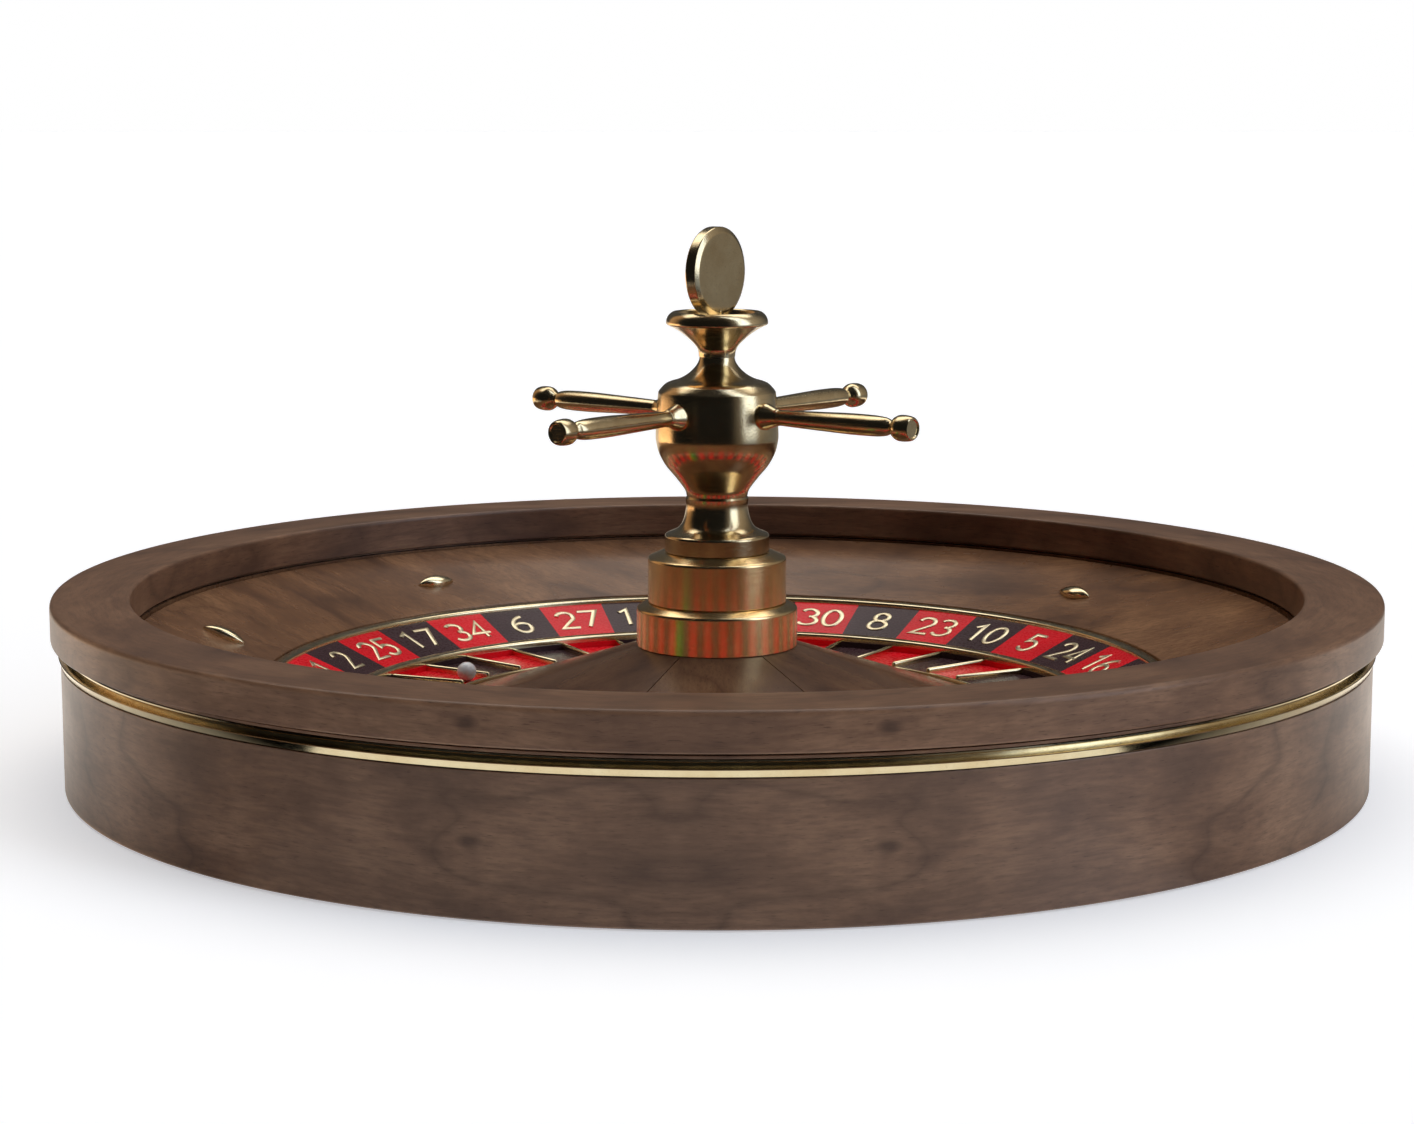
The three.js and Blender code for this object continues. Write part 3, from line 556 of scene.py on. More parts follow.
def skinned(size, rings, whole):
    """Faces from ring to ring of points, back to the first one or with a cap at both ends."""
    faces = []
    for ring in range(rings if whole else rings - 1):
        a, b = ring * size, (ring + 1) % rings * size
        faces += [(a + i, b + i, b + (i + 1) % size, a + (i + 1) % size) for i in range(size)]
    if not whole:
        faces.append(tuple(range(size)))
        faces.append(tuple((rings - 1) * size + i for i in reversed(range(size))))
    return faces


def turned(outline, steps=BIG_STEPS, start=0.0, end=TURN):
    """A closed outline turned about Z, all the way round or from one angle to another."""
    outline = supported(outline)
    whole = end - start > TURN - 1e-6
    columns = steps if whole else steps + 1
    verts = []
    for column in range(columns):
        angle = start + (end - start) * column / steps
        verts += [(r * MM * math.cos(angle), r * MM * math.sin(angle), z * MM) for r, z in outline]
    return welded(verts, skinned(len(outline), columns, whole))


def supported(outline):
    """Add a point near both ends of long straights, so that rounded corners don't tilt their shading."""
    points = []
    for index, start in enumerate(outline):
        end = outline[(index + 1) % len(outline)]
        length = math.dist(start, end)
        points.append(start)
        if length > LONG_STRAIGHT:
            for part in (SUPPORT / length, 1 - SUPPORT / length):
                points.append(tuple(a + (b - a) * part for a, b in zip(start, end)))
    return points


def moved(shell, matrix):
    verts, faces = shell
    return [tuple(matrix @ Vector(vert)) for vert in verts], faces


def plain_grain(x, y, z):
    return x, y, z


def ring_grain(x, y, z):
    """Fibres run round the ring, mirrored near the front and the back."""
    radius = math.hypot(x, y)
    angle = math.remainder(math.atan2(x, -y) - GRAIN_MIRROR_ANGLE, TURN)
    return abs(angle) * radius, radius, z


def turned_grain(angle, spread=0.0):
    """Straight fibres at an angle in plan, each piece from its own part of the board."""
    cosine, sine = math.cos(angle), math.sin(angle)
    return lambda x, y, z: (x * cosine + y * sine + spread, y * cosine - x * sine, z + spread)


def add_piece(name, shells, material, body, replaced=(), grain=plain_grain, sharp=35):
    """One object from closed shells, riding on a body and standing for CAD nodes."""
    mesh = bpy.data.meshes.new(name)
    build = bmesh.new()
    for verts, faces in shells:
        made = [build.verts.new(vert) for vert in verts]
        for face in faces:
            build.faces.new([made[corner] for corner in face])
    bmesh.ops.recalc_face_normals(build, faces=build.faces)
    build.to_mesh(mesh)
    build.free()
    values = []
    for vertex in mesh.vertices:
        values.extend(grain(*vertex.co))
    mesh.attributes.new("grain", "FLOAT_VECTOR", "POINT").data.foreach_set("vector", values)
    mesh.shade_smooth()
    mesh.set_sharp_from_angle(angle=math.radians(sharp))
    mesh.materials.append(material)
    piece = bpy.data.objects.new(name, mesh)
    bpy.context.scene.collection.objects.link(piece)
    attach(piece, body)
    if replaced:
        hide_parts(*replaced)
    return piece


def dress(nodes, material):
    """Give CAD nodes whose shape stays their material."""
    for node in nodes:
        mesh = bpy.data.objects[node].data
        mesh.materials.clear()
        mesh.materials.append(material)


# ---------------------------------------------------------------- bowl

def add_drum():
    """The drum's wall, with a shallow recess round its foot."""
    outer, ledge = reach("drum_ring"), top("drum_ring")
    recess = outer - DRUM_FOOT_INSET
    wall_top = foot("brass_band") - BAND_GAP
    behind_band = BAND_INNER_RADIUS - BAND_GAP
    add_piece("bowl_drum", [turned(softened([
        (DRUM_INNER_RADIUS, 0), (recess, 0), (recess, DRUM_FOOT_HEIGHT),
        (outer, DRUM_FOOT_HEIGHT, 0.8), (outer, wall_top, 0.6),
        (behind_band, wall_top), (behind_band, ledge), (DRUM_INNER_RADIUS, ledge),
    ]))], DRUM_WOOD, "bowl", ["drum_ring"], ring_grain)


def add_band():
    """The brass band: a leaning bead below, a deep groove and a thin lip above."""
    low, high, bead = foot("brass_band"), top("brass_band"), reach("brass_band")
    groove_foot, groove_top = low + BAND_GROOVE_FOOT, low + BAND_GROOVE_TOP
    groove, lip = bead - BAND_GROOVE_DEPTH, bead - BAND_LIP_INSET
    add_piece("bowl_band", [turned([
        (BAND_INNER_RADIUS, low), (bead - 1.9, low), (bead - 1.4, low + 0.4),
        (bead - 0.2, low + 3.6), (bead, low + 4.0), (bead - 0.4, low + 4.4),
        (groove, groove_foot), (groove, groove_top), (lip - 0.4, groove_top + 0.1),
        (lip, groove_top + 0.6), (lip, high), (BAND_INNER_RADIUS, high),
    ])], TRIM_BRASS, "bowl", ["brass_band"])


def add_rim():
    """The top rim, with a shadow groove above its step and an undercut foot inside."""
    outer, high, step_foot = reach("rim_ring"), top("rim_ring"), foot("rim_ring")
    undercut = RIM_INNER_RADIUS + RIM_UNDERCUT
    step = RIM_STEP_RADIUS - RIM_STEP_GAP
    shadow = RIM_STEP_RADIUS - RIM_SHADOW_DEPTH
    shadow_foot = RIM_STEP_TOP - RIM_SHADOW_DROP
    add_piece("bowl_rim", [turned(softened([
        (RIM_INNER_RADIUS, RIM_WALL_FOOT, 0.4), (undercut, RIM_WALL_FOOT), (undercut, RIM_SEAT),
        (BAND_INNER_RADIUS, RIM_SEAT), (BAND_INNER_RADIUS, step_foot),
        (step, step_foot, 0.4), (step, shadow_foot, 0.4),
        (shadow, shadow_foot), (shadow, RIM_STEP_TOP), (outer, RIM_STEP_TOP, 1.2),
        (outer, high, 3.2), (RIM_INNER_RADIUS, high, 2.4),
    ], 6))], RIM_WOOD, "bowl", ["rim_ring"], ring_grain)


def add_apron():
    """The sloping track, with a groove where it meets the rim's wall."""
    outer, high = reach("apron_ring"), top("apron_ring")
    groove_foot = high - APRON_GROOVE_DEPTH
    add_piece("bowl_apron", [turned(softened([
        (APRON_INNER_RADIUS, APRON_INNER_TOP - APRON_THICKNESS), (APRON_SEAT_RADIUS, APRON_SEAT_HEIGHT),
        (outer, APRON_SEAT_HEIGHT), (outer, high), (APRON_GROOVE_OUTER, high),
        (APRON_GROOVE_OUTER, groove_foot), (APRON_GROOVE_INNER, groove_foot),
        (APRON_GROOVE_INNER, high - APRON_GROOVE_LIP, 0.6), (APRON_INNER_RADIUS, APRON_INNER_TOP, 0.8),
    ]))], APRON_WOOD, "bowl", ["apron_ring"], turned_grain(APRON_GRAIN_ANGLE))


def deflector_shell():
    """A brass dome over a pointed oval, lying along X."""
    lengthwise, across = 28, 14
    rows = []
    for i in range(lengthwise + 1):
        u = -math.cos(math.pi * i / lengthwise)
        slim = 1 - u * u
        row = []
        for j in range(across + 1):
            angle = math.pi * j / across
            row.append((
                DEFLECTOR_HALF_LENGTH * u,
                -DEFLECTOR_HALF_WIDTH * slim * math.cos(angle),
                DEFLECTOR_HEIGHT * slim ** 0.6 * math.sin(angle) ** 0.45,
            ))
        rows.append(row)
    verts = [tuple(value * MM for value in point) for row in rows for point in row]
    size = across + 1
    faces = []
    for i in range(lengthwise):
        a, b = i * size, (i + 1) * size
        faces += [(a + j, b + j, b + j + 1, a + j + 1) for j in range(across)]
        faces.append((a, a + across, b + across, b))
    return welded(verts, faces)


def add_deflectors():
    """Eight domes on the apron, turned by turns along the ball's path and across it."""
    slope = math.atan2(top("apron_ring") - APRON_INNER_TOP, APRON_GROOVE_OUTER - APRON_INNER_RADIUS)
    seat = APRON_INNER_TOP + (DEFLECTOR_RADIUS - APRON_INNER_RADIUS) * math.tan(slope)
    for i in range(DEFLECTOR_COUNT):
        along_path = i % 2 == 0
        matrix = Matrix.Rotation(DEFLECTOR_FIRST_ANGLE + TURN * i / DEFLECTOR_COUNT, 4, "Z")
        matrix @= Matrix.Translation((DEFLECTOR_RADIUS * MM, 0, (seat - DEFLECTOR_SINK) * MM))
        matrix @= Matrix.Rotation(-slope, 4, "Y")
        matrix @= Matrix.Rotation(math.pi / 2 if along_path else 0, 4, "Z")
        node = f"deflector_{i + 1}"
        add_piece(f"ball_{node}", [moved(deflector_shell(), matrix)], TRIM_BRASS, "bowl", [node])


# ---------------------------------------------------------------- rotor rings and pockets

def add_number_ring():
    """The sloping number plate, with a coloured field over each pocket."""
    outer, outer_top = reach("number_ring"), top("number_ring")
    field_foot = [
        (NUMBER_INNER_RADIUS, NUMBER_INNER_TOP - FIELD_THICKNESS), (outer, outer_top - FIELD_THICKNESS),
    ]
    add_piece("number_plate", [turned([
        (NUMBER_INNER_RADIUS, NUMBER_INNER_TOP - NUMBER_PLATE_THICKNESS),
        (outer, outer_top - NUMBER_PLATE_THICKNESS), *reversed(field_foot),
    ])], BLACK, "rotor", ["number_ring"])
    field = [*field_foot, (outer, outer_top), (NUMBER_INNER_RADIUS, NUMBER_INNER_TOP)]
    add_fields("number_fields", field, NUMBER_STEPS)


def add_fields(name, outline, steps):
    """One coloured sector per pocket: red, black and green pieces that share an outline."""
    shells = {"red": [], "black": [], "green": []}
    for index in range(POCKET_COUNT):
        color = "green" if index == 0 else "red" if index % 2 else "black"
        start, end = pocket_angle(index + 0.5), pocket_angle(index - 0.5)
        shells[color].append(turned(outline, steps, start, end))
    for color, material in (("red", RED), ("black", BLACK), ("green", GREEN)):
        add_piece(f"{name}_{color}", shells[color], material, "rotor")


def add_bead(name, inner, widening, inner_rise, outer_rise):
    """A rounded brass ring. Its width and the heights of its edges differ a little from the CAD's."""
    node = f"{name}_ring"
    outer, low, high = reach(node) + widening, foot(node), top(node)
    add_piece(name, [turned(softened([
        (inner, low), (outer, low), (outer, high + outer_rise, 1.2), (inner, high + inner_rise, 1.6),
    ], 6))], TRIM_BRASS, "rotor", [node])


def add_beads():
    add_bead("outer_bead", OUTER_BEAD_INNER_RADIUS, 0.0, 0.0, 1.2)
    add_bead("inner_bead", INNER_BEAD_INNER_RADIUS, 0.5, -0.4, 0.5)


def add_pockets():
    """The pocket floor and outer wall, in the colours of the numbers beside them."""
    floor, under = top("pocket_ring"), foot("pocket_ring")
    wall = POCKET_OUTER_RADIUS - POCKET_WALL_THICKNESS
    add_piece("pocket_floor", [turned([
        (POCKET_INNER_RADIUS, under), (POCKET_OUTER_RADIUS, under),
        (POCKET_OUTER_RADIUS, floor - FIELD_THICKNESS), (POCKET_INNER_RADIUS, floor - FIELD_THICKNESS),
    ])], BLACK, "rotor", ["pocket_ring"])
    add_fields("pocket_fields", [
        (POCKET_INNER_RADIUS, floor - FIELD_THICKNESS), (POCKET_OUTER_RADIUS, floor - FIELD_THICKNESS),
        (POCKET_OUTER_RADIUS, floor), (POCKET_INNER_RADIUS, floor),
    ], POCKET_STEPS)
    wall_top = foot("inner_bead_ring")
    add_fields("pocket_walls", [
        (wall, floor), (POCKET_OUTER_RADIUS, floor), (POCKET_OUTER_RADIUS, wall_top), (wall, wall_top),
    ], POCKET_STEPS)


def fin_shell(angle, floor, fret_top):
    """A separator: a thin upright fin with a rounded crest and a rounded nose towards the cone."""
    half = FRET_THICKNESS / 2
    tip = POCKET_INNER_RADIUS - 1.2
    section = [(-half, floor), (half, floor)]
    for step in range(FRET_CREST_STEPS + 1):
        turn = math.pi * step / FRET_CREST_STEPS
        section.append((half * math.cos(turn), fret_top - half + half * math.sin(turn)))
    # Each station: radius, part of the full thickness, and how far the crest lies below its height.
    stations = [
        (tip, 0.25, 1.0), (tip + 0.5, 0.8, 0.35), (tip + 1.2, 1.0, 0.0),
        (POCKET_OUTER_RADIUS - 0.2, 1.0, 0.0),
    ]
    verts = []
    for radius, slim, drop in stations:
        for across, height in section:
            lowered = height - drop if height > floor else height
            verts.append((radius * MM, across * slim * MM, lowered * MM))
    faces = skinned(len(section), len(stations), whole=False)
    return moved((verts, faces), Matrix.Rotation(angle, 4, "Z"))


def add_separators():
    """Seven lengths of hoop, each with the fins of five or six pockets."""
    floor, fret_top = top("pocket_ring"), top("fret_segment_2")
    hoop_foot = foot("fret_segment_2")
    hoop = softened([
        (HOOP_INNER_RADIUS, hoop_foot), (POCKET_INNER_RADIUS, hoop_foot),
        (POCKET_INNER_RADIUS, HOOP_TOP, 0.9), (HOOP_INNER_RADIUS, HOOP_TOP, 0.9),
    ])
    first = 0
    for number, size in enumerate(FRET_SEGMENT_SIZES, 1):
        shells = [turned(hoop, POCKET_STEPS * size, pocket_angle(first + size), pocket_angle(first))]
        for pocket in range(first, first + size):
            shells.append(fin_shell(pocket_angle(pocket + 0.5), floor, fret_top))
        node = f"fret_segment_{number}"
        add_piece(f"separators_{number}", shells, TRIM_BRASS, "rotor", [node])
        first += size


# ---------------------------------------------------------------- numerals

def arc(x, y, across, up, start, end, steps=14):
    """Points on part of an oval, with angles in degrees."""
    return [
        (x + across * math.cos(math.radians(start + (end - start) * i / steps)),
         y + up * math.sin(math.radians(start + (end - start) * i / steps)))
        for i in range(steps + 1)
    ]


FIGURE_WIDTH = 0.62
FIGURE_PITCH = 0.68

SIX = [arc(0.31, 0.31, 0.25, 0.27, 0, 360, 24), arc(0.56, 0.34, 0.5, 0.62, 103, 178)]

# The strokes of each figure, in a box one unit high and FIGURE_WIDTH wide.
FIGURES = {
    "0": [arc(0.31, 0.5, 0.26, 0.46, 0, 360, 28)],
    "1": [[(0.14, 0.78), (0.37, 0.96), (0.37, 0.04)]],
    "2": [arc(0.3, 0.69, 0.24, 0.27, 165, -32) + [(0.06, 0.04), (0.58, 0.04)]],
    "3": [arc(0.28, 0.73, 0.23, 0.23, 150, -85), arc(0.28, 0.29, 0.27, 0.25, 85, -150)],
    "4": [[(0.44, 0.04), (0.44, 0.96), (0.04, 0.3), (0.6, 0.3)]],
    "5": [[(0.54, 0.96), (0.15, 0.96), (0.11, 0.55)] + arc(0.29, 0.33, 0.26, 0.29, 118, -150)],
    "6": SIX,
    "7": [[(0.05, 0.96), (0.57, 0.96), (0.22, 0.04)]],
    "8": [arc(0.31, 0.74, 0.2, 0.22, 0, 360, 22), arc(0.31, 0.28, 0.26, 0.25, 0, 360, 24)],
    "9": [[(FIGURE_WIDTH - x, 1 - y) for x, y in stroke] for stroke in SIX],
}


def stroke_shell(points, lift):
    """A raised ribbon along a stroke. lift turns a flat point and a height into a place in metres."""
    looped = math.dist(points[0], points[-1]) < 1e-6
    path = points[:-1] if looped else points
    count = len(path)
    half = NUMERAL_STROKE / NUMERAL_HEIGHT
    section = [(-1, -0.3), (-1, 0.45), (-0.7, 0.85), (0, 1), (0.7, 0.85), (1, 0.45), (1, -0.3)]
    verts = []
    for index, (x, y) in enumerate(path):
        before = path[index - 1] if looped or index else path[0]
        after = path[(index + 1) % count] if looped or index < count - 1 else path[-1]
        into = Vector((x - before[0], y - before[1])).normalized()
        out = Vector((after[0] - x, after[1] - y)).normalized()
        along = (into + out).normalized() if (into + out).length > 0.2 else out
        widen = 1 / max(0.55, along.dot(out if out.length else into))
        side = Vector((-along.y, along.x)) * half * widen
        for across, height in section:
            verts.append(lift(x + side.x * across, y + side.y * across, height * NUMERAL_RELIEF))
    return verts, skinned(len(section), count, looped)


def add_numerals():
    """Raised brass figures on the sloping fields, with their feet towards the pockets."""
    outer, outer_top = reach("number_ring"), top("number_ring")
    slope = math.atan2(outer_top - NUMBER_INNER_TOP, outer - NUMBER_INNER_RADIUS)
    mid_radius = (outer + NUMBER_INNER_RADIUS) / 2
    mid_height = (outer_top + NUMBER_INNER_TOP) / 2
    shells = []
    for index, number in enumerate(NUMBER_ORDER):
        text = str(number)
        width = FIGURE_PITCH * (len(text) - 1) + FIGURE_WIDTH

        def lift(x, y, height):
            up = (y - 0.5) * NUMERAL_HEIGHT
            radius = mid_radius + up * math.cos(slope) - height * math.sin(slope)
            angle = pocket_angle(index) - (x - width / 2) * NUMERAL_WIDTH / mid_radius
            level = mid_height + up * math.sin(slope) + height * math.cos(slope)
            return radius * MM * math.cos(angle), radius * MM * math.sin(angle), level * MM

        for place_in_text, figure in enumerate(text):
            for stroke in FIGURES[figure]:
                offset = FIGURE_PITCH * place_in_text
                shells.append(stroke_shell([(x + offset, y) for x, y in stroke], lift))
    add_piece("numerals", shells, NUMERAL_BRASS, "rotor", sharp=50)


# ---------------------------------------------------------------- cone, ball and hidden parts

def add_cone():
    """Six panels of a low wooden cone, parted by fine grooves."""
    seat = foot("cone_panel_1")
    crown = cone_height(CONE_INNER_RADIUS)
    outline = softened([
        (CONE_INNER_RADIUS, crown - CONE_THICKNESS), (CONE_OUTER_RADIUS - CONE_SEAT_WIDTH, seat),
        (CONE_OUTER_RADIUS, seat), (CONE_OUTER_RADIUS, cone_height(CONE_OUTER_RADIUS), 0.6),
        (CONE_INNER_RADIUS, crown),
    ])
    for index in range(CONE_PANEL_COUNT):
        start = CONE_GROOVE_ANGLE + TURN * index / CONE_PANEL_COUNT
        end = start + TURN / CONE_PANEL_COUNT
        node = f"cone_panel_{index + 1}"
        shell = grooved(turned(outline, CONE_PANEL_STEPS, start, end), start, end)
        grain = turned_grain((start + end) / 2, CONE_GRAIN_SPREAD * index)
        add_piece(f"wheel_{node}", [shell], CONE_WOOD, "rotor", [node], grain)


def grooved(shell, start, end):
    """Draw a panel's two sides in by half a groove, so that a fine dark line parts the panels."""
    verts, faces = shell
    inset = CONE_GROOVE_WIDTH / 2 * MM
    shifted = []
    for x, y, z in verts:
        angle = math.atan2(y, x)
        for side, sign in ((start, 1), (end, -1)):
            if abs(math.remainder(angle - side, TURN)) < 1e-4:
                x -= sign * inset * math.sin(side)
                y += sign * inset * math.cos(side)
        shifted.append((x, y, z))
    return shifted, faces


def add_ball():
    """The ball, let down until a tenth of a millimetre parts it from the pocket's floor."""
    centre = middle("ball")
    build = bmesh.new()
    bmesh.ops.create_icosphere(build, subdivisions=4, radius=BALL_RADIUS * MM)
    bmesh.ops.translate(build, verts=build.verts, vec=(centre.x, centre.y, centre.z - BALL_SINK * MM))
    verts = [tuple(vert.co) for vert in build.verts]
    faces = [tuple(vert.index for vert in face.verts) for face in build.faces]
    build.free()
    add_piece("roulette_ball", [(verts, faces)], IVORY, "ball", ["ball"])


def dress_hidden():
    """Materials for the parts inside, which keep their CAD shapes."""
    dress(["base_board", "outer_bearer", "inner_bearer", "cone_bearer"], PLY)
    dress(["wheel_head", "number_ring_block"], DRUM_WOOD)
    dress(["rotor_hub"], ALUMINIUM)
    steel = ["spindle", "spindle_flange", "spindle_nut", "tie_rod"]
    steel += [f"flange_bolt_{i + 1}" for i in range(FLANGE_BOLT_COUNT)]
    for bearing in ("lower_bearing", "upper_bearing"):
        steel += [f"{bearing}_inner_race", f"{bearing}_outer_race", f"{bearing}_cage"]
    dress(steel, STEEL)


# ---------------------------------------------------------------- turret

def add_turned(name, outline, node, material=TURRET_BRASS):
    add_piece(name, [turned(outline, SMALL_STEPS)], material, "rotor", [node], sharp=38)


def add_tiers():
    """Two stepped drums at the turret's foot, with rounded shoulders."""
    base, base_top = reach("turret_base"), top("turret_base")
    base_foot = base_top - TURRET_BASE_DEPTH
    tier, tier_foot, tier_top = reach("turret_tier"), foot("turret_tier"), top("turret_tier")
    add_turned("turret_tier_one", softened([
        (TURRET_BASE_BORE, base_foot), (TURRET_FOOT_RADIUS - 2, base_foot),
        (TURRET_FOOT_RADIUS, cone_height(TURRET_FOOT_RADIUS) + TURRET_CLEARANCE),
        (base, cone_height(base) + TURRET_CLEARANCE), (base, base_top - TIER_STEP, 1.4),
        (tier + 1.2, base_top, 1.8), (TURRET_BASE_BORE, base_top),
    ], 6), "turret_base", TIER_BRASS)
    add_turned("turret_tier_two", softened([
        (TURRET_BORE, tier_foot), (tier, tier_foot, 0.5), (tier, tier_top - TIER_STEP, 1.4),
        (reach("turret_collar") + 2.2, tier_top, 1.8), (TURRET_BORE, tier_top),
    ], 6), "turret_tier", TIER_BRASS)


def add_neck():
    """A collar that draws in to the turret's narrow neck."""
    collar, low, high = reach("turret_collar"), foot("turret_collar"), top("turret_collar")
    neck = flowing([
        (collar - 2.2, low + 11.4), (28.2, low + 12.4), (25.0, low + 14.0), (22.4, low + 16.6),
        (20.6, low + 20.6), (19.4, low + 26), (19.2, low + 30), (19.6, low + 33.2),
    ])
    add_turned("turret_neck", [
        (TURRET_BORE, low), (collar - 0.9, low), (collar - 0.6, low + 0.3), (collar - 0.6, low + 9.6),
        (collar - 0.8, low + 10.3), (collar - 1.3, low + 10.9), *neck, (18.6, high), (TURRET_BORE, high),
    ], "turret_collar")


def add_vase():
    """A belly that swells from the neck, and a hollow shoulder above it."""
    low, high = foot("turret_vase"), top("turret_vase")
    belly = flowing([
        (18.9, low), (20.1, 171.9), (25.7, 179.4), (31.9, 186.9), (35.9, 194.4), (37.6, 201),
        (38.0, 206), (37.4, 219), (36.5, 230.4), (35.6, 233.2), (32.6, 236.6),
    ])
    shoulder = flowing([
        (28.7, 238.6), (23.5, 240.2), (18.4, 243.0), (14.2, 246.8), (11.6, 250.6), (10.8, high),
    ])
    add_turned("turret_body", [
        (TURRET_BORE, low), *belly, (31.2, 237.6), *shoulder, (TURRET_BORE, high),
    ], "turret_vase")


def add_cup():
    """A flared cup with a rolled lip and a dished top."""
    low, high = foot("turret_cup"), top("turret_cup")
    flare = flowing([
        (11.2, low), (11.6, 257.4), (13.2, 260.6), (16.6, 264.2), (22.0, 268.7), (27.4, 272.0),
        (30.6, 273.5),
    ])
    lip = flowing([
        (31.2, 274.0), (31.4, 274.6), (31.3, 276.2), (30.6, 278.2), (29.4, 279.9), (27.8, high - 0.4),
        (26.6, high), (25.4, 280.8), (24.2, 278.2), (21, 274.2), (15, 270.6), (9, 268.2),
        (TURRET_BORE, 267.6),
    ])
    add_turned("turret_bowl", [(TURRET_BORE, low), *flare, *lip], "turret_cup")


def add_finial():
    """An upright disc with a softly rounded edge on a short stem."""
    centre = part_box("finial_disc")[1][2] - FINIAL_RADIUS * MM
    back, front = -FINIAL_THICKNESS / 2, FINIAL_THICKNESS / 2 - 1
    disc = turned(softened([
        (0, back), (FINIAL_RADIUS, back, 1.0), (FINIAL_RADIUS, front - FINIAL_CHAMFER / 2, 0.6),
        (FINIAL_RADIUS - FINIAL_CHAMFER, front, 0.6), (0, front),
    ]), SMALL_STEPS)
    facing = Matrix.Translation((0, 0, centre))
    facing @= Matrix.Rotation(FINIAL_ANGLE, 4, "Z")
    facing @= Matrix.Rotation(math.pi / 2, 4, "Y")
    stem_foot = foot("finial_disc")
    stem_top = stem_foot + FINIAL_STEM_HEIGHT
    stem = turned([
        (0, stem_foot), (FINIAL_STEM_RADIUS, stem_foot), (FINIAL_STEM_RADIUS, stem_top), (0, stem_top),
    ], PIN_STEPS)
    add_piece("turret_finial", [moved(disc, facing), stem], TURRET_BRASS, "rotor", ["finial_disc"])


def add_handles():
    """Turned grips: a domed ferrule at the vase, a swelling grip, a neck and a knob."""
    level = middle("handle_1").z
    profile = [
        (0, 33), (8.2, 33), (8.2, 38.6),
        *flowing([(8.1, 39.4), (7.3, 41.4), (6.3, 43.8), (5.4, 46.4), (5.1, 48.2)]),
        *flowing([(4.7, 48.6), (5.2, 62), (5.9, 84), (6.4, 102), (6.4, 116), (6.1, 124), (5.4, 129),
                  (4.4, 131.4), (3.9, 132.6)]),
        *flowing([(3.9, 133.2), (4.8, 134.2), (6.4, 135.8), (7.6, 138.2), (7.9, 141), (7.7, 144.6),
                  (7.1, 147.2), (6.4, HANDLE_TIP)]),
        (5.6, HANDLE_TIP), (5.0, HANDLE_TIP - 0.8), (0, HANDLE_TIP - 0.8),
    ]
    shell = turned(profile, PIN_STEPS)
    for index in range(HANDLE_COUNT):
        matrix = Matrix.Translation((0, 0, level))
        matrix @= Matrix.Rotation(HANDLE_FIRST_ANGLE + TURN * index / HANDLE_COUNT, 4, "Z")
        matrix @= Matrix.Rotation(math.pi / 2, 4, "Y")
        node = f"handle_{index + 1}"
        add_piece(f"turret_{node}", [moved(shell, matrix)], TURRET_BRASS, "rotor", [node], sharp=40)


# ---------------------------------------------------------------- floor and light

WORLD_STRENGTH = 4.0
CEILING_TILT = math.radians(13)
SOFT_LIGHT_CORE = 0.5
SOFT_LIGHT_EDGE = 0.66

FLOOR_HALF_SIZE = 30
BACKDROP_DISTANCE = 29
BACKDROP_HALF_WIDTH = 60
REFLECTED_FLOOR_RADII = (0.403, 0.9)
REFLECTED_FLOOR_START = -50
REFLECTED_FLOOR_SWEEP = 280
REFLECTED_FLOOR_STEPS = 48
REFLECTED_FLOOR_HEIGHT = 0.0005


def glowing_material(name):
    """A material that only shines, its graph and the inputs of its light."""
    material = bpy.data.materials.new(name)
    material.use_nodes = True
    graph = Graph(material.node_tree)
    glow = graph.node("ShaderNodeEmission")
    output = next(node for node in graph.nodes if node.type == "OUTPUT_MATERIAL")
    graph.feed(output.inputs["Surface"], glow.outputs[0])
    return material, graph, glow.inputs


def new_scenery(name, verts, faces, material):
    mesh = bpy.data.meshes.new(name)
    mesh.from_pydata(verts, [], faces)
    mesh.materials.append(material)
    piece = bpy.data.objects.new(name, mesh)
    bpy.context.scene.collection.objects.link(piece)
    return piece


